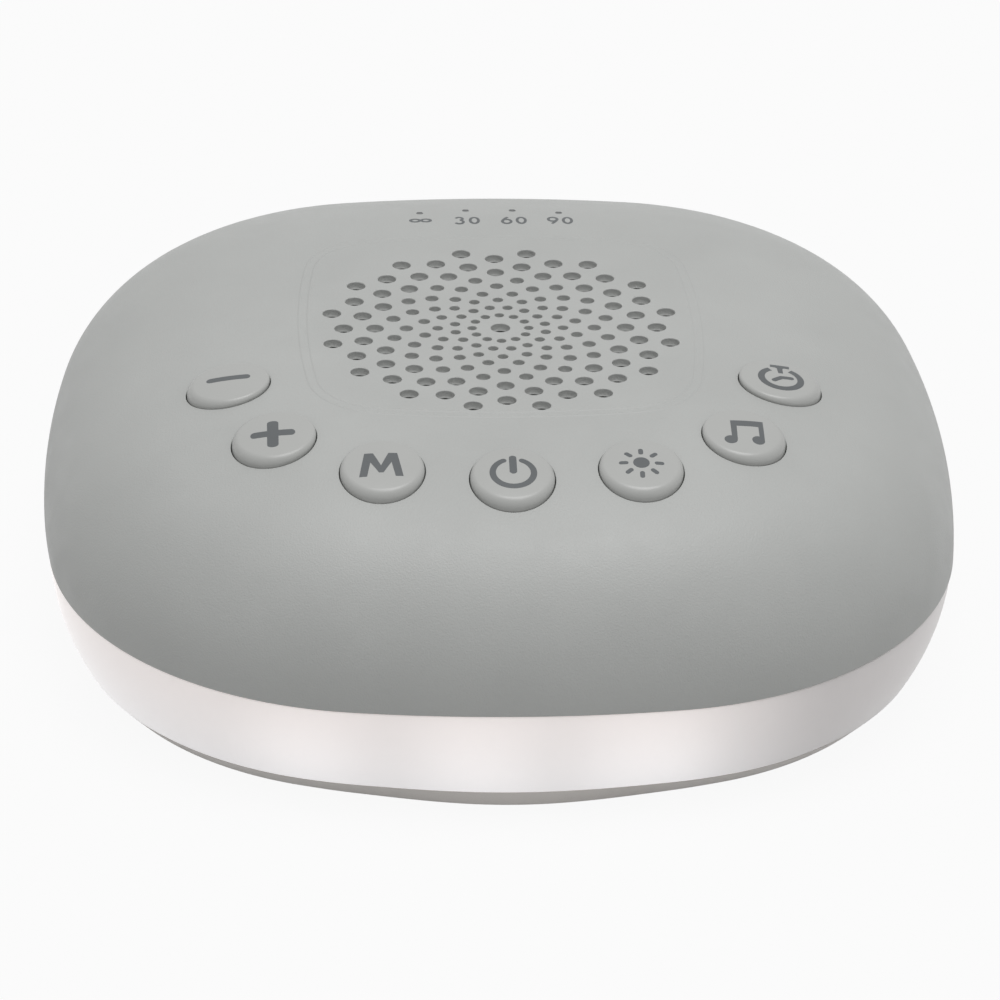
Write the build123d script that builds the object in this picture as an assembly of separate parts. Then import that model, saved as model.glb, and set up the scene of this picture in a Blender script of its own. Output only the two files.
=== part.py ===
"""White noise sound machine with a night-light band.

A palm-sized squircle housing stands on four rubber feet.  The domed upper shell carries a
perforated speaker grille, seven round push keys on an arc in front of it and four timer
windows behind it.  A translucent light band goes all round below the shell, above a shallow
base.  Millimetres, +Z up, keys towards -Y, origin on the table under the housing's centre.
"""
import os
from math import acos, atan2, cos, degrees, pi, radians, sin, sqrt, tan

from build123d import *

# ---------------------------------------------------------------- housing form
body_half = 60.0            # half width and half depth at the widest level
side_radius = 160.0         # the plan is four shallow side arcs and four corner arcs
corner_radius = 44.0
foot_stand = 1.0            # height of the base's underside above the table
wide_level = 16.85          # level of the widest section
shoulder_radius = 21.1      # the shoulder's profile: a tight arc up from the widest level,
shoulder_turn = 67.2        # this many degrees round,
crown_radius = 55.9         # then a flatter arc towards the grille field
shoulder_steps = 5          # conical bands along each arc of the profile
crown_steps = 2
hollow_steps = 3            # bands along the same arcs on the inside of the shell
hollow_flat_steps = 2
corner_flats = 6            # flats that stand for each corner arc on hidden inner faces
side_curve = 27.9           # radius of the sides' inward curve below the widest level
shell_seam = 16.2           # level where the shell meets the light band

# ---------------------------------------------------------------- upper shell
shell_wall = 2.2
rib_inset = 6.0             # the shell's bosses below the seam stay this far inside the outline
grille_y = -1.5             # the grille lies a little in front of the housing's centre
field_half = 26.5           # half size of the squircle grille field where it meets the shoulder
field_bevel = 1.3           # width of the field's sloped edge
field_step = 0.2            # how far the field stands above its edge
overcut = 1.0               # how far a bore runs past the faces it opens

# ---------------------------------------------------------------- grille holes
centre_hole = 2.5           # diameter of the middle hole
inner_ring_count = 12       # holes in the first ring
ring_count = 16             # holes in each further ring
hole_sides = 6              # flats of a grille hole
# (ring radius, hole diameter), from the first ring outwards
grille_rings = [
    (3.70, 1.2),
    (6.00, 1.3),
    (8.20, 1.35),
    (10.10, 1.5),
    (12.30, 1.7),
    (14.20, 1.8),
    (16.40, 2.25),
    (18.30, 2.35),
    (20.50, 2.4),
    (22.40, 2.55),
]

# ---------------------------------------------------------------- keys
end_key_reach = 38.2        # radii of the keys about the grille's centre, from the outermost pair
corner_key_reach = 41.2
front_key_reach = 40.0
middle_key_reach = 38.6
# name: (angle from the front about the grille's centre, positive to the right; radius)
key_stations = {
    "minus": (-68.5, end_key_reach),
    "plus": (-46.3, corner_key_reach),
    "mode": (-24.0, front_key_reach),
    "power": (0.0, middle_key_reach),
    "light": (24.0, front_key_reach),
    "music": (46.3, corner_key_reach),
    "timer": (68.5, end_key_reach),
}
key_opening = 5.5           # radius of the opening in the shell
key_gap = 0.25              # radial gap between a cap and its opening
key_proud = 1.2             # how far a cap's centre stands above the shell
key_tilt = 9.0              # slope of a cap's top, falling away from the grille
key_edge = 0.8              # width of the eased edge of a cap's top
key_sides = 18              # flats that stand for a cap's round
key_travel = 0.5
key_stop_gap = 0.2          # play between a cap's lugs and the guide collar
lug_reach = 1.3             # how far the retaining lugs stand out of a cap
lug_width = 3.0
lug_height = 1.2
lug_count = 3
lug_root = 1.0              # how far a lug's arm starts inside the cap
lug_headroom = 1.3          # from the lowest guide collar up to the shell's inner face
stem_size = 3.2             # square stem under a cap
stem_length = 0.3
collar_size = 14.2          # square guide collar round each opening

# ---------------------------------------------------------------- switches
switch_size = 6.0
switch_height = 3.5
plunger_size = 3.2
plunger_gap = 0.1           # round the plunger in its switch
plunger_stand = 1.0         # how far the plunger stands out of its switch
plunger_sunk = 1.0          # how far it reaches into the switch
switch_floor_gap = 0.1      # left under the plunger when it is pressed home

# ---------------------------------------------------------------- key board
board_thickness = 1.6
key_board_inset = 11.0      # the key board's edges inside the housing's sides
key_board_reach = 13.0      # how far its straight edges reach past the corner arcs' centres
key_board_window = 28.5     # half width of its opening round the loudspeaker
key_board_window_sides = 8
boss_slot = 0.5             # clearance round the housing bosses that pass through it
stake_size = 1.8            # square pins that hold a board, melted over on its far side
stake_post = 3.6            # square posts that carry the pins
stake_head = 0.8            # height of the melted heads
stake_gap = 0.1
rear_stake_x = 26.0
rear_stake_y = 31.0
front_stake_x = 8.5
front_stake_edge = 3.0      # from the front pins to the key board's edge

# ---------------------------------------------------------------- timer windows
timer_radius = 38.1         # arc of the windows about the grille's centre
timer_pitch = 9.6           # degrees from one window to the next
timer_count = 4
window_radius = 0.65
pipe_gap = 0.05             # clearance of a light pipe in its window
pipe_leg = 2.2              # side of the square legs above the lamps
pipe_bar = 1.5              # thickness of the bar that joins the light pipes
pipe_bar_depth = 3.4
pad_drop = 0.3              # the bar's flat pad stands this far below the shell's inner face
pad_margin = 1.5            # pad and bar beyond the outer windows
window_depth = 0.05         # a pipe's end lies this far below the skin
lamp_size = 1.8             # timer lamps on the key board
lamp_height = 0.8
lamp_gap = 0.2

# ---------------------------------------------------------------- loudspeaker
cloth_thickness = 0.3
cloth_radius = 23.9
ring_inner = 24.1           # clamping ring under the roof
ring_outer = 25.4
ring_drop = 3.4             # how far the ring stands below the roof's underside
ring_sides = 18             # flats that stand for the round of the loudspeaker's pieces
gasket_thickness = 0.8
flange_half = 25.0          # square flange of the loudspeaker's frame
flange_corner = 4.0         # chamfer of its corners
flange_thickness = 1.0
flange_screw = 21.0         # half spacing of its corner screws
speaker_boss_radius = 2.9
boss_sides = 8             # flats of the bosses and of the screw holes
basket_rim = 22.6           # radius inside the basket at the flange
basket_foot = 15.0          # radius inside the basket at its floor
basket_depth = 11.0         # from the flange's top to the floor's underside
basket_wall = 0.8
basket_window = 14.0        # width of the four openings in its side
floor_bore = 8.2            # opening in the basket's floor for the voice coil
plate_thickness = 2.0
plate_radius = 15.0
magnet_thickness = 7.0
magnet_radius = 16.0
magnet_bore = 8.6
yoke_thickness = 2.5
yoke_radius = 15.0
pole_radius = 6.0
coil_gap_inner = 0.35       # running gap between the pole and the voice coil
coil_wall = 0.7
coil_gap_outer = 0.45       # running gap between the voice coil and the plate
coil_reach = 1.0            # how far the coil reaches below the plate
cone_wall = 0.6
cone_rim = 18.6
neck_rise = 2.4             # the cone's neck above the basket's floor
surround_land = 1.2         # glued flats of the surround, inside and outside the roll
surround_skin = 0.5
roll_height = 1.6
cap_edge = 8.0              # radius of the dust cap
cap_bend = 6.0              # radius where it turns towards its flat top
cap_flat = 3.2              # radius of its flat top
cap_bend_rise = 1.2
cap_rise = 2.0              # how far it bulges
spider_drop = 0.4           # the spider below the cone's neck
spider_skin = 0.4
glue_gap = 0.05             # between the cone's glued pieces

# ---------------------------------------------------------------- screws
screw_radius = 1.45
screw_clearance = 0.25      # round the shank where it passes freely
pilot_gap = 0.05            # round the shank in its pilot hole
screw_head_radius = 2.7
screw_head_height = 1.8
screw_sides = 6             # flats that stand for a screw's round
speaker_screw_length = 5.0
housing_screw_length = 12.0

# ---------------------------------------------------------------- light band and its lamps
band_wall = 2.2
band_fit = 0.3              # between the base's ribs and the inside of the band
band_reveal = 0.2           # how far the band lies inside the shell's face
band_steps = 2              # conical bands of its outer face
lamp_board_reach = 15.0     # how far each lamp board reaches past the corner arcs' centres
lamp_board_inset = 11.0     # its outer face inside the housing's side
lamp_board_thickness = 1.0
lamp_board_level = 5.6      # lower edge of the lamp boards
lamp_board_height = 8.0
lamp_count = 3
lamp_end = 3.5              # from a lamp board's end to the middle of its last lamp
lamp_shift = 5.0            # how far the row of lamps lies off the middle of its board
lamp_width = 3.5
lamp_tall = 2.8
lamp_depth = 1.2

# ---------------------------------------------------------------- base
base_plate = 2.6
rib_width = 3.0             # upright ribs that hold the lamp boards
rib_thickness = 2.0
rib_end = 4.0               # from a lamp board's end to the middle of its rib
rib_level = 10.6            # top of the ribs
housing_boss_x = 37.5
housing_boss_y = 24.5
housing_boss_radius = 2.6
cup_size = 8.4              # square cup in the base round each housing screw
cup_level = 6.0             # where the cup meets the shell's boss
head_gap = 0.4              # round the screw head in its recess
head_seat = 2.0             # material between the screw head and the boss
foot_inset = 27.0           # middle of a foot inside the housing's sides
foot_size = 9.0
foot_corner = 2.0
foot_recess = 0.8
foot_gap = 0.1

# ---------------------------------------------------------------- main board and power port
main_board_half = 26.0
main_board_front = 2.0
main_board_gap = 4.0        # from its rear edge to the rear lamp board
main_board_level = 6.0
port_tongue_half = 6.0      # narrow part of the main board that carries the power port
tongue_end_gap = 0.5        # between that tongue and the light band
tongue_gap = 0.8            # round that tongue and the port in the rear lamp board
standoff_size = 5.0         # square stand-offs under the main board
standoff_inset = 4.0
port_width = 8.94
port_height = 3.26
port_length = 7.35
port_wall = 0.3
port_flats = 4              # flats of each of its round sides
port_tab = 1.2              # thickness of the contact tab inside the port
port_tab_width = 6.7
port_tab_length = 5.5
port_setback = 0.5          # how far the port's mouth lies inside the band's face
port_gap = 0.25             # gap round the port in the light band
# plan centre and size of the two chips, and the capacitor's place
controller_place = (-12.0, 16.0)
controller_size = (9.9, 3.9, 1.5)
amplifier_place = (11.0, 14.0)
amplifier_size = (4.9, 3.9, 1.5)
capacitor_place = (14.0, 33.0)
capacitor_radius = 3.15
capacitor_height = 5.4


# ---------------------------------------------------------------- levels and sizes that follow
side_offset = side_radius - body_half
radius_step = side_radius - corner_radius
corner_place = (sqrt(2 * radius_step ** 2 - side_offset ** 2) - side_offset) / 2
side_turn = degrees(atan2(corner_place, corner_place + side_offset))

shoulder_inset = shoulder_radius * (1 - cos(radians(shoulder_turn)))
shoulder_level = wide_level + shoulder_radius * sin(radians(shoulder_turn))
crown_inset = shoulder_inset + crown_radius * cos(radians(shoulder_turn))
crown_level = shoulder_level - crown_radius * sin(radians(shoulder_turn))
field_inset = body_half - field_half
crown_turn = degrees(acos((crown_inset - field_inset) / crown_radius))
field_level = crown_level + crown_radius * sin(radians(crown_turn))
roof_level = field_level + field_step
ceiling_level = field_level - shell_wall

cap_radius = key_opening - key_gap
key_board_side = body_half - key_board_inset
key_board_corner = key_board_side - corner_place - key_board_reach
front_stake_y = key_board_side - front_stake_edge

lamp_board_half = corner_place + lamp_board_reach
lamp_board_place = body_half - lamp_board_inset
lamp_pitch = lamp_board_half - lamp_end - lamp_shift
port_place = lamp_shift - lamp_pitch / 2
rib_place = lamp_board_half - rib_end
foot_place = body_half - foot_inset
main_board_rear = lamp_board_place - lamp_board_thickness - main_board_gap

gasket_top = ceiling_level - ring_drop
speaker_top = gasket_top - gasket_thickness
flange_bottom = speaker_top - flange_thickness
floor_bottom = speaker_top - basket_depth
floor_top = floor_bottom + basket_wall
plate_bottom = floor_bottom - plate_thickness
yoke_top = plate_bottom - magnet_thickness
yoke_bottom = yoke_top - yoke_thickness
coil_inner = pole_radius + coil_gap_inner
coil_outer = coil_inner + coil_wall
plate_bore = coil_outer + coil_gap_outer
neck_level = floor_top + neck_rise
cone_slope = (speaker_top - neck_level - cone_wall) / (cone_rim - surround_land - coil_inner)
cap_seat = neck_level + cone_wall + (cap_edge - coil_inner) * cone_slope + glue_gap

base_seam = foot_stand + base_plate
head_level = cup_level - head_seat
main_board_top = main_board_level + board_thickness
port_level = main_board_top + port_height / 2


# ---------------------------------------------------------------- plan outline and profiles
def outline(inset, level):
    """Closed outline of the housing, drawn in all round by an inset, starting at +X."""
    wide = side_radius - inset
    tight = corner_radius - inset
    arcs = []
    for quarter in range(4):
        turn = Rot(0, 0, 90 * quarter)
        arcs.append(turn * CenterArc((-side_offset, 0, level), wide, 0, side_turn))
        corner = CenterArc((corner_place, corner_place, level), tight, side_turn, 90 - 2 * side_turn)
        arcs.append(turn * corner)
        arcs.append(turn * CenterArc((0, -side_offset, level), wide, 90 - side_turn, side_turn))
    return Wire(arcs)


def inner_corners(inset, level):
    """Corners of a flat-sided outline that follows the housing's arcs, for hidden inner faces."""
    wide = side_radius - inset
    tight = corner_radius - inset
    quarter = []
    for turn in (0, side_turn / 2):
        quarter.append((wide * cos(radians(turn)) - side_offset, wide * sin(radians(turn))))
    for step in range(corner_flats + 1):
        turn = radians(side_turn + (90 - 2 * side_turn) * step / corner_flats)
        quarter.append((corner_place + tight * cos(turn), corner_place + tight * sin(turn)))
    turn = radians(90 - side_turn / 2)
    quarter.append((wide * cos(turn), wide * sin(turn) - side_offset))
    corners = [(x, y, level) for x, y in quarter] + [(-y, x, level) for x, y in quarter]
    return corners + [(-x, -y, level) for x, y, level in corners]


def inner_solid(points):
    """Flat-faced solid with the housing's outline through (inset, level) points."""
    return stacked([inner_corners(inset, level) for inset, level in points], False)


def plate(inset, bottom, top, openings=()):
    """Flat plate with the housing's outline, with closed wires cut out of it."""
    return extrude(Face(outline(inset, bottom), openings), top - bottom, dir=(0, 0, 1))


def layered(points):
    """Solid with the housing's outline through (inset, level) points, ruled from each to the next."""
    return Solid.make_loft([outline(inset, level) for inset, level in points], ruled=True)


def skin_points(depth, steps, flat_steps):
    """(inset, level) points of the shoulder at a depth below its outer face, from the side up."""
    points = []
    for step in range(steps + 1):
        turn = radians(shoulder_turn * step / steps)
        reach = shoulder_radius - depth
        points.append((shoulder_radius - reach * cos(turn), wide_level + reach * sin(turn)))
    for step in range(1, flat_steps + 1):
        turn = radians(shoulder_turn + (crown_turn - shoulder_turn) * step / flat_steps)
        reach = crown_radius - depth
        points.append((crown_inset - reach * cos(turn), crown_level + reach * sin(turn)))
    return points


def side_inset(level):
    """Inset of the housing's side at or below the widest level."""
    return side_curve - sqrt(side_curve ** 2 - (wide_level - level) ** 2)


def inset_at(x, y):
    """Inset of a point of the plan from the outline."""
    x, y = abs(x), abs(y)
    if degrees(atan2(y, x + side_offset)) < side_turn:
        return side_radius - sqrt((x + side_offset) ** 2 + y ** 2)
    if degrees(atan2(x, y + side_offset)) < side_turn:
        return side_radius - sqrt(x ** 2 + (y + side_offset) ** 2)
    return corner_radius - sqrt((x - corner_place) ** 2 + (y - corner_place) ** 2)


def skin_level(x, y):
    """Height of the shoulder's outer face above a point of the plan."""
    inset = inset_at(x, y)
    if inset < shoulder_inset:
        return wide_level + sqrt(shoulder_radius ** 2 - (shoulder_radius - inset) ** 2)
    return crown_level + sqrt(crown_radius ** 2 - (crown_inset - inset) ** 2)


# ---------------------------------------------------------------- places
def key_place(name):
    """Plan position of a key."""
    angle, reach = key_stations[name]
    return reach * sin(radians(angle)), grille_y - reach * cos(radians(angle))


def window_places():
    """Plan positions of the timer windows, from left to right."""
    places = []
    for step in range(timer_count):
        angle = radians(timer_pitch * (step - (timer_count - 1) / 2))
        places.append((timer_radius * sin(angle), grille_y + timer_radius * cos(angle)))
    return places


def mirrored(places):
    """The given right-hand places and their mirror images."""
    return [(side * x, y) for x, y in places for side in (1, -1)]


def four_places(x, y, middle=0.0):
    """Corners of a rectangle about a point on the Y axis."""
    return [(x, middle + y), (-x, middle + y), (-x, middle - y), (x, middle - y)]


def speaker_screw_places():
    return four_places(flange_screw, flange_screw, grille_y)


def housing_boss_places():
    return four_places(housing_boss_x, housing_boss_y)


def standoff_places():
    x = main_board_half - standoff_inset
    half_run = (main_board_rear - main_board_front) / 2 - standoff_inset
    return four_places(x, half_run, (main_board_rear + main_board_front) / 2)


def stake_places():
    """Places of the pins that hold the key board."""
    return mirrored([(rear_stake_x, rear_stake_y), (front_stake_x, -front_stake_y)])


# ---------------------------------------------------------------- levels under the keys and windows
def lug_ceiling(name):
    """Height of the shell's inner face over the outermost reach of a key's lugs."""
    angle, reach = key_stations[name]
    edge = reach + cap_radius + lug_reach
    return skin_level(edge * sin(radians(angle)), grille_y - edge * cos(radians(angle))) - shell_wall


collar_level = min(lug_ceiling(name) for name in key_stations) - lug_headroom
lug_top = collar_level - key_stop_gap
cap_bottom = lug_top - lug_height
plunger_top = cap_bottom - stem_length
switch_top = plunger_top - plunger_stand
key_board_top = switch_top - switch_height
key_board_bottom = key_board_top - board_thickness
pad_half = window_places()[-1][0] + pad_margin
pad_front = (window_places()[0][1] + window_places()[1][1] - pipe_bar_depth) / 2
pad_rear = pad_front + pipe_bar_depth
pad_level = skin_level(pad_half, pad_rear) - shell_wall - pad_drop


# ---------------------------------------------------------------- simple solids
def flat_rod(x, y, radius, bottom, top, sides):
    """Upright prism with the given number of flats, of a given radius at its corners."""
    return extrude(polygon(round_corners(x, y, radius, bottom, sides)), top - bottom, dir=(0, 0, 1))


def block(x0, x1, y0, y1, bottom, top):
    """Box between given coordinates."""
    size = Box(x1 - x0, y1 - y0, top - bottom, align=(Align.MIN, Align.MIN, Align.MIN))
    return Pos(x0, y0, bottom) * size


def post(x, y, width, bottom, top, turn=0.0):
    """Upright square post between two levels."""
    size = Box(width, width, top - bottom, align=(Align.CENTER, Align.CENTER, Align.MIN))
    return Pos(x, y, bottom) * Rot(0, 0, turn) * size


def polygon(corners):
    return Face(Wire(Polyline(*corners, close=True)))


def stacked(rings, hollow):
    """Flat-faced solid through rings of corners, closed by end faces or back to the first ring."""
    pairs = list(zip(rings, rings[1:]))
    if hollow:
        pairs.append((rings[-1], rings[0]))
        faces = []
    else:
        faces = [polygon(rings[0]), polygon(rings[-1])]
    for lower, upper in pairs:
        for step in range(len(lower)):
            faces.append(polygon([lower[step - 1], lower[step], upper[step], upper[step - 1]]))
    return Solid(Shell(faces))


def round_corners(x, y, radius, level, sides):
    """Corners of a regular polygon at a level."""
    turns = [2 * pi * step / sides for step in range(sides)]
    return [(x + radius * cos(turn), y + radius * sin(turn), level) for turn in turns]


def turned(points, hollow=True):
    """Solid about the loudspeaker's axis through (radius, level) points."""
    rings = [round_corners(0, grille_y, radius, level, ring_sides) for radius, level in points]
    return stacked(rings, hollow)


def clipped_square(half, corner, bottom, top):
    """Square plate about the Z axis with its corners cut off."""
    near = half - corner
    points = [(half, -near), (half, near), (near, half), (-near, half),
              (-half, near), (-half, -near), (-near, -half), (near, -half)]
    return extrude(polygon([(x, y, bottom) for x, y in points]), top - bottom, dir=(0, 0, 1))


# ---------------------------------------------------------------- upper shell
def grille_wires():
    """Wires of the middle hole and of the ten rings round it, at the roof's underside."""
    wires = [polygon(round_corners(0, grille_y, centre_hole / 2, ceiling_level, hole_sides)).wire()]
    for number, (reach, diameter) in enumerate(grille_rings, start=1):
        count = inner_ring_count if number == 1 else ring_count
        offset = 0.5 if number > 1 and number % 2 == 0 else 0
        for step in range(count):
            turn = 2 * pi * (step + offset) / count
            x = reach * cos(turn)
            y = grille_y + reach * sin(turn)
            wires.append(polygon(round_corners(x, y, diameter / 2, ceiling_level, hole_sides)).wire())
    return wires


def shell_skin():
    """Domed skin of the shell with its perforated roof."""
    plateau = field_inset + field_bevel
    outer = [(0, shell_seam)] + skin_points(0, shoulder_steps, crown_steps) + [(plateau, roof_level)]
    inner = [(shell_wall, shell_seam)] + skin_points(shell_wall, hollow_steps, hollow_flat_steps)
    inner[-1] = (inner[-1][0], ceiling_level)
    opening = plate(plateau, ceiling_level, roof_level)
    grille = plate(plateau, ceiling_level, roof_level, grille_wires())
    return layered(outer) - inner_solid(inner) - opening + grille


def rib_envelope():
    """Space that the shell's inner ribs may fill, up to the middle of its wall."""
    half_wall = shell_wall / 2
    points = [(half_wall, shell_seam)] + skin_points(half_wall, hollow_steps, hollow_flat_steps)
    return inner_solid(points) + inner_solid([(rib_inset, base_seam), (rib_inset, shell_seam)])


def top_shell():
    ribs = [flat_rod(0, grille_y, ring_outer, gasket_top, roof_level, ring_sides)
            - flat_rod(0, grille_y, ring_inner, gasket_top, roof_level, ring_sides)]
    bores = []
    pilot = (screw_radius + pilot_gap) / cos(pi / boss_sides)
    for x, y in speaker_screw_places():
        ribs.append(flat_rod(x, y, speaker_boss_radius, speaker_top, roof_level, boss_sides))
        bores.append(flat_rod(x, y, pilot, speaker_top - overcut, ceiling_level, boss_sides))
    for name in key_stations:
        x, y = key_place(name)
        ribs.append(post(x, y, collar_size, collar_level, roof_level, key_stations[name][0]))
        bores.append(flat_rod(x, y, key_opening, collar_level - overcut, roof_level + overcut, key_sides))
    for x, y in housing_boss_places():
        ribs.append(flat_rod(x, y, housing_boss_radius, cup_level, roof_level, boss_sides))
        top = head_level + housing_screw_length
        bores.append(flat_rod(x, y, pilot, cup_level - overcut, top, boss_sides))
    for x, y in stake_places():
        ribs.append(post(x, y, stake_post, key_board_top, roof_level))
    ribs.append(block(-pad_half, pad_half, pad_front, pad_rear, pad_level, roof_level))
    for x, y in window_places():
        bores.append(flat_rod(x, y, window_radius, pad_level - overcut, roof_level + overcut, hole_sides))
    return shell_skin() + (Part() + ribs & rib_envelope()) + stakes() - bores


def stakes():
    """Pins under the posts, with the melted heads that hold the key board."""
    pieces = []
    for x, y in stake_places():
        pieces.append(post(x, y, stake_size, key_board_bottom, key_board_top))
        pieces.append(post(x, y, stake_post, key_board_bottom - stake_head, key_board_bottom))
    return pieces


def grille_cloth():
    return flat_rod(0, grille_y, cloth_radius, ceiling_level - cloth_thickness, ceiling_level, ring_sides)


# ---------------------------------------------------------------- keys, switches and key board
def key_cap(name):
    """Round push key with its sloping top, retaining lugs and stem."""
    x, y = key_place(name)
    angle = key_stations[name][0]
    slope = tan(radians(key_tilt))
    outward = radians(angle - 90)
    eased = key_edge * (1 - cos(pi / 4))
    rings = [round_corners(x, y, cap_radius, cap_bottom, key_sides)]
    for inset, drop in ((0, key_edge), (eased, eased), (key_edge, 0)):
        corners = []
        top = skin_level(x, y) + key_proud - drop
        for px, py, level in round_corners(x, y, cap_radius - inset, top, key_sides):
            fall = ((px - x) * cos(outward) + (py - y) * sin(outward)) * slope
            corners.append((px, py, level - fall))
        rings.append(corners)
    cap = stacked(rings, False)
    for step in range(lug_count):
        arm = Box(lug_reach + lug_root, lug_width, lug_height, align=(Align.MIN, Align.CENTER, Align.MIN))
        turn = Rot(0, 0, angle + 90 + 360 * step / lug_count)
        cap += Pos(x, y, cap_bottom) * turn * Pos(cap_radius - lug_root, 0, 0) * arm
    return cap + post(x, y, stem_size, plunger_top, cap_bottom, angle)


def key_plunger(name):
    x, y = key_place(name)
    return post(x, y, plunger_size, switch_top - plunger_sunk, plunger_top, key_stations[name][0])


def key_switch(name):
    x, y = key_place(name)
    angle = key_stations[name][0]
    floor = switch_top - plunger_sunk - key_travel - switch_floor_gap
    well = post(x, y, plunger_size + 2 * plunger_gap, floor, switch_top, angle)
    return post(x, y, switch_size, key_board_top, switch_top, angle) - well


def key_board():
    board = clipped_square(key_board_side, key_board_corner, key_board_bottom, key_board_top)
    window = extrude(RegularPolygon(key_board_window, key_board_window_sides, major_radius=False), roof_level)
    board -= Pos(0, grille_y, 0) * window
    for x, y in housing_boss_places():
        board -= post(x, y, 2 * (housing_boss_radius + boss_slot), base_seam, roof_level)
    for x, y in stake_places():
        board -= post(x, y, stake_size + 2 * stake_gap, base_seam, roof_level)
    return board


def timer_lamps():
    top = key_board_top + lamp_height
    return Part() + [post(x, y, lamp_size, key_board_top, top) for x, y in window_places()]


def timer_light_pipe():
    pipe = block(-pad_half, pad_half, pad_front, pad_rear, pad_level - pipe_bar, pad_level)
    for x, y in window_places():
        pipe += post(x, y, pipe_leg, key_board_top + lamp_height + lamp_gap, pad_level - pipe_bar)
        top = skin_level(x, y) - window_depth
        pipe += flat_rod(x, y, window_radius - pipe_gap, pad_level, top, hole_sides)
    return pipe


# ---------------------------------------------------------------- loudspeaker
def speaker_gasket():
    outer = flat_rod(0, grille_y, ring_outer, speaker_top, gasket_top, ring_sides)
    return outer - flat_rod(0, grille_y, ring_inner, speaker_top, gasket_top, ring_sides)


def speaker_frame():
    flange = Pos(0, grille_y, 0) * clipped_square(flange_half, flange_corner, flange_bottom, speaker_top)
    flange -= flat_rod(0, grille_y, basket_rim, flange_bottom, speaker_top, ring_sides)
    basket = turned([
        (basket_rim, flange_bottom),
        (basket_rim + basket_wall, flange_bottom),
        (basket_foot + basket_wall, floor_bottom),
        (floor_bore, floor_bottom),
        (floor_bore, floor_top),
        (basket_foot, floor_top),
    ])
    frame = flange + basket
    window_bottom = floor_top + basket_wall
    for turn in (0, 90):
        slot = Box(2 * body_half, basket_window, flange_bottom - basket_wall - window_bottom,
                   align=(Align.CENTER, Align.CENTER, Align.MIN))
        frame -= Pos(0, grille_y, window_bottom) * Rot(0, 0, turn) * slot
    for x, y in speaker_screw_places():
        frame -= flat_rod(x, y, screw_radius + screw_clearance, flange_bottom, speaker_top, boss_sides)
    return frame


def speaker_plate():
    return turned([(plate_bore, plate_bottom), (plate_radius, plate_bottom),
                   (plate_radius, floor_bottom), (plate_bore, floor_bottom)])


def speaker_magnet():
    return turned([(magnet_bore, yoke_top), (magnet_radius, yoke_top),
                   (magnet_radius, plate_bottom), (magnet_bore, plate_bottom)])


def speaker_yoke():
    disc = [(yoke_radius, yoke_bottom), (yoke_radius, yoke_top)]
    pole = [(pole_radius, yoke_top), (pole_radius, floor_bottom)]
    return turned(disc + pole, hollow=False)


def voice_coil():
    bottom = plate_bottom - coil_reach
    return turned([(coil_inner, bottom), (coil_outer, bottom),
                   (coil_outer, neck_level), (coil_inner, neck_level)])


def speaker_cone():
    return turned([(coil_inner, neck_level), (coil_outer, neck_level), (cone_rim, speaker_top - cone_wall),
                   (cone_rim, speaker_top), (cone_rim - surround_land, speaker_top),
                   (coil_inner, neck_level + cone_wall)])


def dust_cap():
    points = [(cap_edge, cap_seat), (cap_bend, cap_seat + cap_bend_rise), (cap_flat, cap_seat + cap_rise)]
    return turned(points, hollow=False)


def cone_surround():
    skin_top = speaker_top + surround_skin
    crest = (cone_rim + basket_rim) / 2
    return turned([
        (cone_rim - surround_land, speaker_top),
        (cone_rim, speaker_top),
        (crest, speaker_top + roll_height),
        (basket_rim, speaker_top),
        (basket_rim + surround_land, speaker_top),
        (basket_rim + surround_land, skin_top),
        (basket_rim + surround_skin / 2, skin_top),
        (crest, skin_top + roll_height),
        (cone_rim - surround_skin / 2, skin_top),
        (cone_rim - surround_land, skin_top),
    ])


def cone_spider():
    level = neck_level - spider_drop
    share = (level - spider_skin - floor_top) / (flange_bottom - floor_top)
    reach = basket_foot + (basket_rim - basket_foot) * share - glue_gap
    disc = flat_rod(0, grille_y, reach, level - spider_skin, level, ring_sides)
    bore = (coil_outer + glue_gap) / cos(pi / ring_sides)
    return disc - flat_rod(0, grille_y, bore, level - spider_skin, level, ring_sides)


def screw(x, y, seat, length):
    """Screw with its shank up from its seat."""
    head = flat_rod(x, y, screw_head_radius, seat - screw_head_height, seat, screw_sides)
    return head + flat_rod(x, y, screw_radius, seat, seat + length, screw_sides)


# ---------------------------------------------------------------- light band and its lamps
def band_inset(level):
    """Inset of the light band's outer face."""
    return side_inset(level) + band_reveal


def band_hollow(level):
    """Inset of the light band's inner face."""
    share = (level - base_seam) / (shell_seam - base_seam)
    return band_wall + band_inset(base_seam) * (1 - share) + band_inset(shell_seam) * share


def light_band():
    levels = [base_seam + (shell_seam - base_seam) * step / band_steps for step in range(band_steps + 1)]
    band = layered([(band_inset(level), level) for level in levels])
    band -= inner_solid([(band_hollow(level), level) for level in (base_seam, shell_seam)])
    mouth = stadium(port_width + 2 * port_gap, port_height + 2 * port_gap, 0, body_half)
    return band - Pos(port_place, 0, port_level) * mouth


def lamp_board(side):
    """Straight board with its lamps, for the front, right, rear or left side in turn."""
    inner = lamp_board_place - lamp_board_thickness
    top = lamp_board_level + lamp_board_height
    board = block(-lamp_board_half, lamp_board_half, -lamp_board_place, -inner, lamp_board_level, top)
    middle = (lamp_board_level + top) / 2
    for step in range(lamp_count):
        x = lamp_pitch * (step - (lamp_count - 1) / 2) - lamp_shift
        board += block(x - lamp_width / 2, x + lamp_width / 2,
                       -lamp_board_place - lamp_depth, -lamp_board_place,
                       middle - lamp_tall / 2, middle + lamp_tall / 2)
    board = Rot(0, 0, 90 * side) * board
    tongue = port_tongue_half + tongue_gap
    return board - block(port_place - tongue, port_place + tongue, main_board_rear, body_half,
                         base_seam, port_level + port_height / 2 + tongue_gap)


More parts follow.
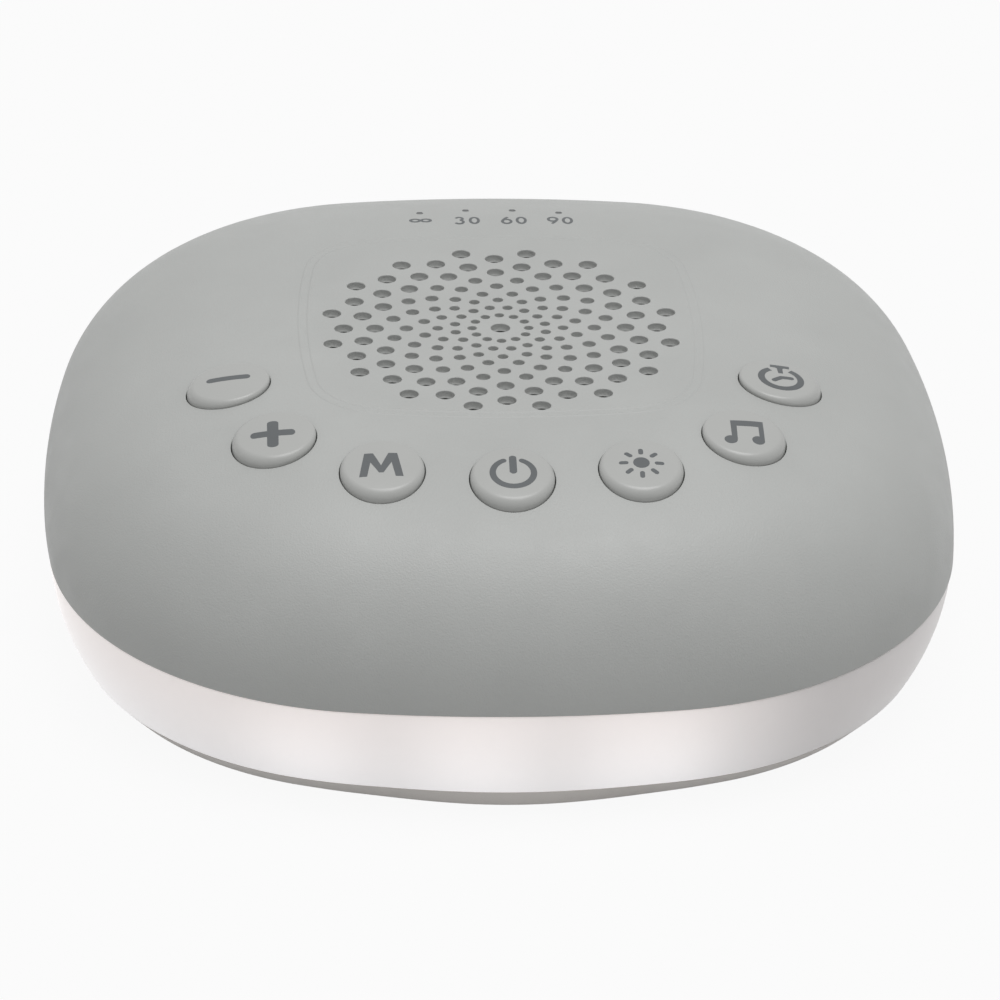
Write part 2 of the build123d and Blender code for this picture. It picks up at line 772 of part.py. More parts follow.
# ---------------------------------------------------------------- base
def base_cover():
    dish = layered([(side_inset(level), level) for level in (foot_stand, base_seam)])
    solids = []
    cuts = []
    ribs = []
    for x, y in housing_boss_places():
        ribs.append(post(x, y, cup_size, foot_stand, cup_level))
        cuts.append(flat_rod(x, y, screw_head_radius + head_gap, 0, head_level, boss_sides))
        bore = screw_radius + screw_clearance
        cuts.append(flat_rod(x, y, bore, foot_stand, cup_level + overcut, boss_sides))
    for x, y in standoff_places():
        solids.append(post(x, y, standoff_size, foot_stand, main_board_level))
        solids.append(post(x, y, stake_size, main_board_level, main_board_top))
        solids.append(post(x, y, stake_post, main_board_top, main_board_top + stake_head))
    for x, y in four_places(foot_place, foot_place):
        recess = clipped_square(foot_size / 2 + foot_gap, foot_corner, 0, foot_stand + foot_recess)
        cuts.append(Pos(x, y, 0) * recess)
    back = lamp_board_place - lamp_board_thickness
    for side in range(4):
        for place in (-rib_place, rib_place):
            x0 = place - rib_width / 2
            x1 = place + rib_width / 2
            rib = block(x0, x1, -back, rib_thickness - back, foot_stand, rib_level)
            rest = block(x0, x1, -body_half, -back, foot_stand, lamp_board_level)
            ribs.append(Rot(0, 0, 90 * side) * (rib + rest))
    reach = band_hollow(base_seam) + band_fit
    solids.append(Part() + ribs & inner_solid([(reach, foot_stand), (reach, rib_level)]))
    return dish + solids - cuts


def foot(x, y):
    return Pos(x, y, 0) * clipped_square(foot_size / 2, foot_corner, 0, foot_stand + foot_recess)


# ---------------------------------------------------------------- main board and power port
def main_board():
    board = block(-main_board_half, main_board_half, main_board_front, main_board_rear,
                  main_board_level, main_board_top)
    rear = body_half - band_hollow(main_board_level) - tongue_end_gap
    board += block(port_place - port_tongue_half, port_place + port_tongue_half, main_board_rear, rear,
                   main_board_level, main_board_top)
    for x, y in standoff_places():
        board -= post(x, y, stake_size + 2 * stake_gap, main_board_level, main_board_top)
    return board


def stadium(width, height, front, rear):
    """Bar along Y with round sides that each have a few flats."""
    radius = height / 2
    corners = []
    for side in (1, -1):
        for step in range(port_flats + 1):
            turn = pi * step / port_flats - pi / 2
            x = width / 2 - radius + radius * cos(turn)
            corners.append((side * x, front, side * radius * sin(turn)))
    return extrude(polygon(corners), rear - front, dir=(0, 1, 0))


def power_port():
    """Flat reversible power socket that opens to the rear."""
    mouth = body_half - band_inset(port_level) - port_setback
    back = mouth - port_length
    shell = stadium(port_width, port_height, back, mouth)
    shell -= stadium(port_width - 2 * port_wall, port_height - 2 * port_wall, back + port_wall, mouth)
    tab = block(-port_tab_width / 2, port_tab_width / 2, back, back + port_tab_length,
                -port_tab / 2, port_tab / 2)
    return Pos(port_place, 0, port_level) * (shell + tab)


def chip(place, size):
    """Chip that lies on the main board."""
    x, y = place
    wide, deep, tall = size
    top = main_board_top + tall
    return block(x - wide / 2, x + wide / 2, y - deep / 2, y + deep / 2, main_board_top, top)


def supply_capacitor():
    top = main_board_top + capacitor_height
    return flat_rod(*capacitor_place, capacitor_radius, main_board_top, top, boss_sides)


# ---------------------------------------------------------------- all pieces
def pieces():
    """Every piece of the machine by name."""
    nodes = {
        "top_shell": top_shell(),
        "grille_cloth": grille_cloth(),
        "speaker_gasket": speaker_gasket(),
        "speaker_frame": speaker_frame(),
        "speaker_plate": speaker_plate(),
        "speaker_magnet": speaker_magnet(),
        "speaker_yoke": speaker_yoke(),
        "voice_coil": voice_coil(),
        "speaker_cone": speaker_cone(),
        "dust_cap": dust_cap(),
        "cone_surround": cone_surround(),
        "cone_spider": cone_spider(),
        "key_board": key_board(),
        "timer_lamps": timer_lamps(),
        "timer_light_pipe": timer_light_pipe(),
        "light_band": light_band(),
        "base_cover": base_cover(),
        "main_board": main_board(),
        "power_port": power_port(),
        "sound_controller": chip(controller_place, controller_size),
        "amplifier_chip": chip(amplifier_place, amplifier_size),
        "supply_capacitor": supply_capacitor(),
    }
    for name in key_stations:
        nodes[f"{name}_key"] = key_cap(name)
        nodes[f"{name}_plunger"] = key_plunger(name)
        nodes[f"{name}_switch"] = key_switch(name)
    for side, name in enumerate(("front", "right", "rear", "left")):
        nodes[f"{name}_lamp_board"] = lamp_board(side)
    for number, (x, y) in enumerate(speaker_screw_places(), start=1):
        nodes[f"speaker_screw_{number}"] = screw(x, y, flange_bottom, speaker_screw_length)
    for number, (x, y) in enumerate(housing_boss_places(), start=1):
        nodes[f"housing_screw_{number}"] = screw(x, y, head_level, housing_screw_length)
    for number, (x, y) in enumerate(four_places(foot_place, foot_place), start=1):
        nodes[f"foot_{number}"] = foot(x, y)
    return nodes


os.makedirs("parts", exist_ok=True)
for node_name, node in pieces().items():
    export_step(node, f"parts/{node_name}.step")
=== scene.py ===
"""Looks of a white noise sound machine with a night-light band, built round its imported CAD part.

The housing's visible skins are built from the same tangent arcs as the CAD part, in millimetres,
and turned into metres when a mesh is made.  +Z is up and the keys face -Y.
"""

from math import acos, asin, atan2, cos, hypot, pi, radians, sin, sqrt, tan

import bmesh
import bpy
from mathutils import Matrix, Vector
from mathutils.geometry import delaunay_2d_cdt


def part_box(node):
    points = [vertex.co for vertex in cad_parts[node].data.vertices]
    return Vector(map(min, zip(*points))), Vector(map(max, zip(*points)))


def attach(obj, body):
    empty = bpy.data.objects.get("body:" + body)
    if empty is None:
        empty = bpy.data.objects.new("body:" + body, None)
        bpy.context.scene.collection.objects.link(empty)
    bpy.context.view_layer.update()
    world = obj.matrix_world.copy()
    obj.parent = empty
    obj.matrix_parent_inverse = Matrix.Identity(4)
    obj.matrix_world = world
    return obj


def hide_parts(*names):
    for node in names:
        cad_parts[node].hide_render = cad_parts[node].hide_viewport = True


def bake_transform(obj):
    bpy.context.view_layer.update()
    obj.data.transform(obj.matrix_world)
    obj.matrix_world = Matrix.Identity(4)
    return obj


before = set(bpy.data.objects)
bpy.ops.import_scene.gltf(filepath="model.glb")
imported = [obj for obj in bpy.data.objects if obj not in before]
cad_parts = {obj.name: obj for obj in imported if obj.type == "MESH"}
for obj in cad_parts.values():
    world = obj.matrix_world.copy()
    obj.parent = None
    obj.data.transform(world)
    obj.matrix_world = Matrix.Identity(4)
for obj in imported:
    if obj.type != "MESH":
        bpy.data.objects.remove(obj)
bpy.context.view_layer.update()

MM = 0.001


def node_box(name):
    """Lowest and highest corner of a CAD node, in millimetres."""
    low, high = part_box(name)
    return low / MM, high / MM


def node_middle(name):
    """Plan position of a CAD node's middle."""
    low, high = node_box(name)
    return (low.x + high.x) / 2, (low.y + high.y) / 2


def node_half(name):
    """Half the width of a CAD node."""
    low, high = node_box(name)
    return (high.x - low.x) / 2


# ---- housing form, as in the CAD part
BODY_HALF = 60.0
SIDE_RADIUS = 160.0
CORNER_RADIUS = 44.0
WIDE_LEVEL = 16.85
SHOULDER_RADIUS = 21.1
SHOULDER_TURN = radians(67.2)
CROWN_RADIUS = 55.9
SIDE_CURVE = 27.9
FIELD_HALF = 26.5
FIELD_BEVEL = 1.3
FIELD_STEP = 0.2
BAND_REVEAL = 0.2
BAND_WALL = 2.2
SHELL_WALL = 2.2

BASE_SEAM, SHELL_SEAM = (corner.z for corner in node_box("light_band"))
FOOT_STAND = node_box("base_cover")[0].z
GRILLE_Y = node_middle("dust_cap")[1]

SIDE_OFFSET = SIDE_RADIUS - BODY_HALF
RADIUS_STEP = SIDE_RADIUS - CORNER_RADIUS
CORNER_PLACE = (sqrt(2 * RADIUS_STEP ** 2 - SIDE_OFFSET ** 2) - SIDE_OFFSET) / 2
SIDE_TURN = atan2(CORNER_PLACE, CORNER_PLACE + SIDE_OFFSET)
SHOULDER_INSET = SHOULDER_RADIUS * (1 - cos(SHOULDER_TURN))
CROWN_INSET = SHOULDER_INSET + CROWN_RADIUS * cos(SHOULDER_TURN)
CROWN_LEVEL = WIDE_LEVEL + (SHOULDER_RADIUS - CROWN_RADIUS) * sin(SHOULDER_TURN)
FIELD_INSET = BODY_HALF - FIELD_HALF
PLATEAU_INSET = FIELD_INSET + FIELD_BEVEL

# ---- form that only the scene has
STEP_RUN = 0.12             # width of each of the two low steps up to the grille field
CREASE_BLUR = 0.06          # half width over which they are rounded
SEAM_BULGE = 0.8            # how much less the light band's lower edge is inset at the middle of a side
SEAM_TUCK = 0.3             # and how much more at a corner
FOOT_BULGE = 1.3            # the same at the base's lowest edge
FOOT_TUCK = 1.1
BULGE_REACH = 29.0          # half length of the bulge along a side
OUTLINE_POINTS = 384        # points round the housing
RIM_INSET = 8.0             # the dome is a ringed strip outside this inset and triangulated inside

# ---- grille
CENTRE_HOLE = 2.5
INNER_RING_COUNT = 12
RING_COUNT = 16
GRILLE_RINGS = [            # (reach, diameter of its holes)
    (3.70, 1.2), (6.00, 1.3), (8.20, 1.35), (10.10, 1.5), (12.30, 1.7),
    (14.20, 1.8), (16.40, 2.25), (18.30, 2.35), (20.50, 2.4), (22.40, 2.40),
]
HOLE_SEGMENTS = 28
HOLE_EASE = 0.14            # rounding of a hole's upper edge
GRILLE_WALL = 1.05          # the shell is thinned behind the grille
GRILLE_BOWL = 0.33          # a hole narrows like a bowl, by up to this much
GRILLE_BOWL_DEPTH = 0.95
BOWL_TURNS = [radians(turn) for turn in (25, 45, 58, 70)]

# ---- keys and timer windows
KEY_ANGLES = {              # turn of each cap's lugs about its middle
    "minus": -68.5, "plus": -46.3, "mode": -24.0, "power": 0.0, "light": 24.0, "music": 46.3, "timer": 68.5,
}
KEY_SHIFTS = {"mode": 0.25, "power": 0.5, "light": 0.25}     # caps that sit a little further back
KEY_OPENING = 5.45
KEY_RADIUS = 5.32
KEY_PROUD = 1.1
KEY_LEAN = 0.75             # slope of a cap's top as a share of the slope of the shell below it
KEY_CROWN = 0.42
KEY_EDGE = 0.92             # rounding of a cap's edge where the shell falls away
KEY_EDGE_FAR = 0.4
KEY_SEGMENTS = 96
KEY_LUGS = 3
OPENING_EASE = 0.08
WELL_DEPTH = 4.0
TIMER_RADIUS = 38.1
TIMER_PITCH = radians(9.6)
TIMER_COUNT = 4
WINDOW_RADIUS = 0.46
WINDOW_EASE = 0.06
WINDOW_GAP = 0.02           # between a window's edge and the light pipe's end
WINDOW_DEPTH = 1.5

# ---- printed marks
INK_RISE = 0.012
PRINT_PITCH = 0.8           # the print follows a curved face in steps of this size
STROKE = 0.18               # of a digit one unit high
DIGIT_TALL = 2.85
DIGIT_NARROW = 0.75         # share by which digits are narrowed
DIGIT_PITCH = 0.86 * DIGIT_TALL * 0.78
DIGIT_SPREAD = 1.05
DIGIT_SHIFT = 0.18
MINUTES_BASE = GRILLE_Y + 32.05
ENDLESS_REACH = 0.73        # from the middle of the endless sign to the middle of each of its ovals

# ---- light band and its lamps
BAND_EASE = 0.3
BAND_ROWS = 12
PORT_SIZE = (9.44, 3.76)
PORT_MARGIN = 1.4
PORT_STEPS = 16             # in the half circle at each end of the opening
PORT_EASE = 0.1
REAR_REACH = 5.0            # how far in from the widest point the rear side is searched for faces
LAMP_COUNT = 3              # on each of the four sides
LAMP_PITCH = 21.5
LAMP_SHIFT = -5.0
LAMP_LEVEL = 8.5
LAMP_GLOW = 14.0
LAMP_GAIN = 0.13
BAND_GLOW = 0.33
SHADE_FROM = 20.0             # painted shade: the band's glow fades towards its right-hand end
SHADE_TO = 42.0
SHADE_LEVEL = 0.12

# ---- base, feet and screws
BASE_EASE = 0.7
BASE_EASE_PART = 0.75       # share of a quarter turn that the lower edge is rounded
RECESS_RADIUS = 3.1         # of a screw's recess
RECESS_RIM = 0.25           # widening of a screw's recess at the underside
FOOT_CORNER = 2.2
FOOT_GAP = 0.1              # between a pad and its recess
FOOT_RIM = 0.15             # widening of a foot's recess at the underside
ROUND_SEGMENTS = 48
SCREW_SEGMENTS = 40
SCREW_HEAD = 2.7
SCREW_SEAT = 1.8            # thickness of the head
SCREW_SHANK = 1.45
CROSS_LONG = 2.6
CROSS_WIDE = 0.55
CROSS_TAPER = 0.55

# ---- soft rings of the loudspeaker
RING_PARTS = 16             # a soft ring is cut into parts
PART_STEPS = 8
SURROUND_LAND = 1.2
SURROUND_SKIN = 0.5
SPIDER_WAVE = 0.22
SPIDER_ROLLS = 4
SPIDER_STEPS = 48
SPIDER_THICKNESS = 0.3
CONE_RIM = node_half("speaker_cone")
COIL_RADIUS = node_half("voice_coil")


# ---- form functions
def outline_point(share, inset):
    """Point of the housing's outline at a share of a turn by heading, and the inward direction."""
    heading = 2 * pi * share
    quarter = int(heading // (pi / 2)) % 4
    local = heading - quarter * pi / 2
    if local < SIDE_TURN:
        centre, radius = (-SIDE_OFFSET, 0.0), SIDE_RADIUS
    elif local > pi / 2 - SIDE_TURN:
        centre, radius = (0.0, -SIDE_OFFSET), SIDE_RADIUS
    else:
        centre, radius = (CORNER_PLACE, CORNER_PLACE), CORNER_RADIUS
    x = centre[0] + (radius - inset) * cos(local)
    y = centre[1] + (radius - inset) * sin(local)
    turn = Matrix.Rotation(quarter * pi / 2, 2)
    return turn @ Vector((x, y)), turn @ Vector((-cos(local), -sin(local)))


def outline_shares(count):
    """Shares of a turn that space points evenly along the outline."""
    fine = 4000
    points = [outline_point(step / fine, 0)[0] for step in range(fine + 1)]
    lengths = [0.0]
    for one, two in zip(points, points[1:]):
        lengths.append(lengths[-1] + (two - one).length)
    shares = []
    place = 0
    for step in range(count):
        goal = lengths[-1] * step / count
        while lengths[place + 1] < goal:
            place += 1
        part = (goal - lengths[place]) / (lengths[place + 1] - lengths[place])
        shares.append((place + part) / fine)
    return shares


SHARES = outline_shares(OUTLINE_POINTS)


def inset_at(x, y):
    """Inset of a plan point from the outline, and the inward direction there."""
    ax, ay = abs(x), abs(y)
    if atan2(ay, ax + SIDE_OFFSET) < SIDE_TURN:
        dx, dy, radius = ax + SIDE_OFFSET, ay, SIDE_RADIUS
    elif atan2(ax, ay + SIDE_OFFSET) < SIDE_TURN:
        dx, dy, radius = ax, ay + SIDE_OFFSET, SIDE_RADIUS
    else:
        dx, dy, radius = ax - CORNER_PLACE, ay - CORNER_PLACE, CORNER_RADIUS
    reach = hypot(dx, dy)
    inward = Vector((-dx / reach * (1 if x >= 0 else -1), -dy / reach * (1 if y >= 0 else -1)))
    return radius - reach, inward


def raw_level(inset):
    """Height of the shell's outer face at an inset: the grille field rises from it in two low steps."""
    if inset < SHOULDER_INSET:
        return WIDE_LEVEL + sqrt(max(SHOULDER_RADIUS ** 2 - (SHOULDER_RADIUS - inset) ** 2, 0))
    if inset < FIELD_INSET:
        return CROWN_LEVEL + sqrt(CROWN_RADIUS ** 2 - (CROWN_INSET - inset) ** 2)
    field = CROWN_LEVEL + sqrt(CROWN_RADIUS ** 2 - (CROWN_INSET - FIELD_INSET) ** 2)
    first = min((inset - FIELD_INSET) / STEP_RUN, 1)
    second = min(max((inset - PLATEAU_INSET) / STEP_RUN + 1, 0), 1)
    return field + FIELD_STEP * (first + second) / 2


ROOF_LEVEL = raw_level(PLATEAU_INSET)


def skin_level(inset):
    """Height of the shell's outer face at an inset, with the steps rounded."""
    if inset < FIELD_INSET - 2 * CREASE_BLUR or inset > PLATEAU_INSET + 2 * CREASE_BLUR:
        return raw_level(inset)
    steps = (-1, -0.5, 0, 0.5, 1)
    return sum(raw_level(inset + step * CREASE_BLUR) for step in steps) / len(steps)


def skin_at(x, y):
    """Height of the shell's outer face above a plan point."""
    return skin_level(inset_at(x, y)[0])


def skin_normal(x, y):
    """Outward direction of the shell's face above a plan point."""
    inset, inward = inset_at(x, y)
    small = 0.05
    slope = (skin_level(inset + small) - skin_level(inset - small)) / (2 * small)
    return Vector((-inward.x * slope, -inward.y * slope, 1)).normalized()


def side_inset(level):
    """Inset of the housing's side at or below its widest level."""
    return SIDE_CURVE - sqrt(SIDE_CURVE ** 2 - (WIDE_LEVEL - level) ** 2)


def side_lean(level):
    """Upward part of the side's normal at a level, for an outward part of 1."""
    return -(WIDE_LEVEL - level) / SIDE_CURVE


def side_heading(along):
    """Heading of the outline's point at a distance along a side from its middle."""
    reach = abs(along)
    if reach < SIDE_RADIUS * sin(SIDE_TURN):
        turn = asin(reach / SIDE_RADIUS)
    else:
        turn = asin((reach - CORNER_PLACE) / CORNER_RADIUS)
    return turn if along > 0 else -turn


def lower_shift(heading, level):
    """Change of inset that rounds the outline below the shell, and its slope with the level."""
    if level >= SHELL_SEAM:
        return 0.0, 0.0
    local = heading % (pi / 2)
    local = min(local, pi / 2 - local)
    if local < SIDE_TURN:
        along = SIDE_RADIUS * sin(local)
    else:
        along = CORNER_PLACE + CORNER_RADIUS * sin(local)
    middle = cos(pi / 2 * min(along / BULGE_REACH, 1)) ** 2
    seam = SEAM_TUCK * (1 - middle) - SEAM_BULGE * middle
    foot = FOOT_TUCK * (1 - middle) - FOOT_BULGE * middle
    if level >= BASE_SEAM:
        return seam * (SHELL_SEAM - level) / (SHELL_SEAM - BASE_SEAM), -seam / (SHELL_SEAM - BASE_SEAM)
    part = (BASE_SEAM - level) / (BASE_SEAM - FOOT_STAND)
    return seam + (foot - seam) * part, -(foot - seam) / (BASE_SEAM - FOOT_STAND)


def key_place(name):
    """Plan position of a key's cap."""
    x, y = node_middle(f"{name}_plunger")
    return x, y + KEY_SHIFTS.get(name, 0)


def key_normal(name):
    """Direction square to a key's sloping top."""
    normal = skin_normal(*key_place(name))
    return Vector((normal.x / normal.z * KEY_LEAN, normal.y / normal.z * KEY_LEAN, 1)).normalized()


def key_top(name, x, y):
    """Height of a key's sloping, slightly crowned top above a plan point."""
    cx, cy = key_place(name)
    normal = key_normal(name)
    fall = ((x - cx) * normal.x + (y - cy) * normal.y) / normal.z
    return skin_at(cx, cy) + KEY_PROUD - fall - KEY_CROWN * (hypot(x - cx, y - cy) / KEY_RADIUS) ** 2


def window_places():
    """Plan positions of the timer windows."""
    turns = [TIMER_PITCH * (step - (TIMER_COUNT - 1) / 2) for step in range(TIMER_COUNT)]
    return [(TIMER_RADIUS * sin(turn), GRILLE_Y + TIMER_RADIUS * cos(turn)) for turn in turns]


def grille_holes():
    """(x, y, radius) of each grille hole."""
    holes = [(0.0, GRILLE_Y, CENTRE_HOLE / 2)]
    for number, (reach, diameter) in enumerate(GRILLE_RINGS, start=1):
        count = INNER_RING_COUNT if number == 1 else RING_COUNT
        offset = 0.5 if number % 2 == 0 else 0
        for step in range(count):
            turn = 2 * pi * (step + offset) / count
            holes.append((reach * cos(turn), GRILLE_Y + reach * sin(turn), diameter / 2))
    return holes


def circle(x, y, radius, count):
    """Closed loop of plan points."""
    turns = [2 * pi * step / count for step in range(count)]
    return [(x + radius * cos(turn), y + radius * sin(turn)) for turn in turns]


def rounded_square(x, y, half, radius, corner_steps=6):
    """Closed loop of a square with round corners."""
    points = []
    for quarter in range(4):
        spin = Matrix.Rotation(quarter * pi / 2, 2)
        for step in range(corner_steps + 1):
            bend = pi / 2 * step / corner_steps
            point = spin @ Vector((half - radius + radius * cos(bend), half - radius + radius * sin(bend)))
            points.append((x + point.x, y + point.y))
    return points


def raised(loop, level):
    """Plan points at a level."""
    return [(x, y, level) for x, y in loop]


def after(loop):
    """The same loop, started one place later."""
    return loop[1:] + loop[:1]


# ---- mesh helpers
def add_object(name, data):
    obj = bpy.data.objects.new(name, data)
    bpy.context.scene.collection.objects.link(obj)
    return obj


def bmesh_object(name, bm):
    mesh = bpy.data.meshes.new(name)
    bm.to_mesh(mesh)
    bm.free()
    return add_object(name, mesh)


def as_piece(obj, body, node=None):
    """Put an object on its body, in place of a CAD node if it has one."""
    if body:
        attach(obj, body)
    if node:
        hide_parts(node)


class Skin:
    """Vertices in millimetres with their shading normals, and faces."""

    def __init__(self):
        self.points = []
        self.normals = []
        self.faces = []

    def add(self, point, normal):
        self.points.append(Vector(point))
        self.normals.append(Vector(normal).normalized())
        return len(self.points) - 1

    def wall(self, points, middle, out, up):
        """Loop of vertices whose normals have a part away from a plan point and a part up."""
        ids = []
        for point in points:
            way = Vector((point[0] - middle[0], point[1] - middle[1])).normalized()
            ids.append(self.add(point, (way.x * out, way.y * out, up)))
        return ids

    def stack(self, loops, down=False):
        """Faces between loops of the same length; they face outward for anticlockwise loops listed upward."""
        for lower, upper in zip(loops, loops[1:]):
            if down:
                lower, upper = upper, lower
            self.faces += zip(lower, after(lower), after(upper), upper)

    def fan(self, loop, centre):
        """Triangles between a loop and a vertex."""
        self.faces += [(one, two, centre) for one, two in zip(loop, after(loop))]

    def fill(self, loops, free, keep, known, put, flip=False):
        """Triangulated face between plan loops: the first has known vertices, put() adds the others."""
        verts, faces, index = triangulate(loops, free, keep)
        place = dict(zip(index[0], known))
        for number, vert in enumerate(verts):
            if number not in place:
                place[number] = put(vert.x, vert.y)
        for face in faces:
            ids = [place[v] for v in face]
            self.faces.append(ids[::-1] if flip else ids)
        return [[place[i] for i in ids] for ids in index]

    def make(self, name, material, body, slot, node=None):
        mesh = bpy.data.meshes.new(name)
        mesh.from_pydata([point * MM for point in self.points], [], self.faces)
        mesh.validate()
        mesh.shade_smooth()
        mesh.normals_split_custom_set_from_vertices(self.normals)
        mesh.materials.append(material)
        obj = add_object(name, mesh)
        as_piece(obj, body, node)
        return obj


def triangulate(loops, free, keep):
    """Constrained triangulation of plan points: loops stay as edges, faces are kept by their middle."""
    coords = []
    edges = []
    index = []
    for loop in loops:
        ids = list(range(len(coords), len(coords) + len(loop)))
        coords += [Vector(point) for point in loop]
        index.append(ids)
        edges += zip(ids, after(ids))
    coords += [Vector(point) for point in free]
    verts, _, faces, source, _, _ = delaunay_2d_cdt(coords, edges, [], 0, 1e-7)
    place = {old: new for new, olds in enumerate(source) for old in olds}
    kept = []
    for face in faces:
        middle = sum((verts[v] for v in face), Vector((0, 0))) / len(face)
        if keep(middle.x, middle.y):
            kept.append(face)
    return verts, kept, [[place[i] for i in ids] for ids in index]


def add_rings(skin, profile):
    """Strips round the housing, upward through (inset, level, outward part, upward part of normal) rows."""
    loops = []
    for inset, level, out, up in profile:
        ids = []
        for share in SHARES:
            shift, slope = lower_shift(2 * pi * share, level)
            point, inward = outline_point(share, inset + shift)
            normal = (-inward.x * out, -inward.y * out, up + slope * out)
            ids.append(skin.add((point.x, point.y, level), normal))
        loops.append(ids)
    skin.stack(loops)
    return loops


# ---- materials
def plug(tree, node, inputs):
    """Give each input of a node its value, or a link from an output."""
    for key, value in inputs.items():
        if isinstance(value, bpy.types.NodeSocket):
            tree.links.new(value, node.inputs[key])
        else:
            node.inputs[key].default_value = value


def add_node(tree, kind, inputs, **settings):
    """New shader node with its settings and inputs."""
    node = tree.nodes.new(kind)
    for name, value in settings.items():
        setattr(node, name, value)
    plug(tree, node, inputs)
    return node


def new_material(name):
    material = bpy.data.materials.new(name)
    material.use_nodes = True
    tree = material.node_tree
    return material, tree, tree.nodes["Principled BSDF"]


def object_place(tree):
    """Position in the object's own frame."""
    return tree.nodes.new("ShaderNodeTexCoord").outputs["Object"]


def noise(tree, scale, detail=4.0):
    """Noise over the object's own position."""
    inputs = {"Scale": scale, "Detail": detail, "Roughness": 0.55, "Vector": object_place(tree)}
    return add_node(tree, "ShaderNodeTexNoise", inputs).outputs["Fac"]


def ranged(tree, source, low, high, first=0.3, last=0.7, blend="LINEAR"):
    """Source mapped from first..last to low..high."""
    inputs = {"Value": source, "From Min": first, "From Max": last, "To Min": low, "To Max": high}
    return add_node(tree, "ShaderNodeMapRange", inputs, interpolation_type=blend).outputs["Result"]


def mixed(tree, factor, one, two):
    """Colour between two colours."""
    inputs = {0: factor, 6: (*one, 1), 7: (*two, 1)}
    return add_node(tree, "ShaderNodeMix", inputs, data_type="RGBA").outputs[2]


def computed(tree, operation, one, two):
    return add_node(tree, "ShaderNodeMath", {0: one, 1: two}, operation=operation).outputs["Value"]


def bumped(tree, shader, source, distance):
    """Give a shader a relief of a height."""
    bump = add_node(tree, "ShaderNodeBump", {"Distance": distance, "Height": source})
    plug(tree, shader, {"Normal": bump.outputs["Normal"]})


def shaded(colour, factor):
    return [min(channel * factor, 1) for channel in colour]


def plastic(name, colour, rough, grain, depth, spread=0.03):
    """Moulded plastic: eroded grain as bump, faint colour variation and uneven gloss."""
    material, tree, shader = new_material(name)
    cloud = ranged(tree, noise(tree, 60.0), 0, 1)
    plug(tree, shader, {
        "Base Color": mixed(tree, cloud, shaded(colour, 1 - spread), shaded(colour, 1 + spread)),
        "Roughness": ranged(tree, noise(tree, 240.0, 2.0), rough - 0.05, rough + 0.05),
    })
    bumped(tree, shader, noise(tree, grain, 3.0), depth)
    return material


def metal(name, colour, rough):
    """Plated or rolled metal with uneven gloss and a fine grain."""
    material, tree, shader = new_material(name)
    cloud = noise(tree, 300.0)
    plug(tree, shader, {
        "Base Color": mixed(tree, ranged(tree, cloud, 0, 1), shaded(colour, 0.88), colour),
        "Roughness": ranged(tree, cloud, rough - 0.07, rough + 0.07),
        "Metallic": 1.0,
    })
    bumped(tree, shader, noise(tree, 2500.0, 2.0), 0.00001)
    return material


def woven(name, colour, pitch):
    """Cloth of two crossing thread runs."""
    material, tree, shader = new_material(name)
    waves = {"Scale": 1 / (pitch * 6.3), "Vector": object_place(tree)}
    runs = [add_node(tree, "ShaderNodeTexWave", waves, bands_direction=way) for way in ("X", "Y")]
    both = computed(tree, "MULTIPLY", *(run.outputs["Fac"] for run in runs))
    plug(tree, shader, {"Base Color": mixed(tree, both, shaded(colour, 0.45), colour), "Roughness": 0.9})
    bumped(tree, shader, both, pitch * 0.3)
    return material


def band_material():
    """Milky light guide, lit from behind by its lamps: brighter before each lamp, warmer at the top, and
    dimmed towards the right-hand end as painted shade.
    """
    material, tree, shader = new_material("milky_band")
    cloud = noise(tree, 45.0)
    place = object_place(tree)
    parts = add_node(tree, "ShaderNodeSeparateXYZ", {"Vector": place}).outputs
    warmth = ranged(tree, parts["Z"], 0, 1, BASE_SEAM * MM, SHELL_SEAM * MM)
    glow = BAND_GLOW
    for side in range(4):
        for step in range(LAMP_COUNT):
            offset = LAMP_SHIFT + LAMP_PITCH * (step - (LAMP_COUNT - 1) / 2)
            heading = side_heading(offset) - pi / 2 + side * pi / 2
            spot, _ = outline_point(heading / (2 * pi) % 1, side_inset(LAMP_LEVEL))
            away = add_node(tree, "ShaderNodeVectorMath", {0: place, 1: Vector((*spot, LAMP_LEVEL)) * MM},
                            operation="DISTANCE").outputs["Value"]
            near = ranged(tree, away, 0, LAMP_GAIN, LAMP_GLOW * MM, 0, "SMOOTHSTEP")
            glow = computed(tree, "ADD", near, glow)
    # painted shade: the glow is cut towards the right-hand end, where the band lies in shade
    painted_shade = ranged(tree, parts["X"], 1.0, SHADE_LEVEL, SHADE_FROM * MM, SHADE_TO * MM, "SMOOTHSTEP")
    plug(tree, shader, {
        "Base Color": mixed(tree, ranged(tree, cloud, 0, 1), (0.76, 0.73, 0.725), (0.80, 0.77, 0.765)),
        "Roughness": ranged(tree, cloud, 0.28, 0.36),
        "Subsurface Weight": 0.3,
        "Subsurface Radius": (0.004, 0.004, 0.004),
        "Subsurface Scale": 1.0,
        "Emission Color": mixed(tree, warmth, (0.975, 0.98, 1.0), (1.0, 0.91, 0.88)),
        "Emission Strength": computed(tree, "MULTIPLY", glow, painted_shade),
    })
    bumped(tree, shader, noise(tree, 900.0, 2.0), 0.00002)
    return material


SHELL_GREY = (0.443, 0.452, 0.441)
CAP_GREY = (0.436, 0.442, 0.430)
# painted light: the base's grey is the shell's grey painted much lighter, for the light the low base only
# gets from the floor
PAINTED_LIGHT_BASE_GREY = (0.700, 0.670, 0.640)
INK_GREY = (0.116, 0.125, 0.130)

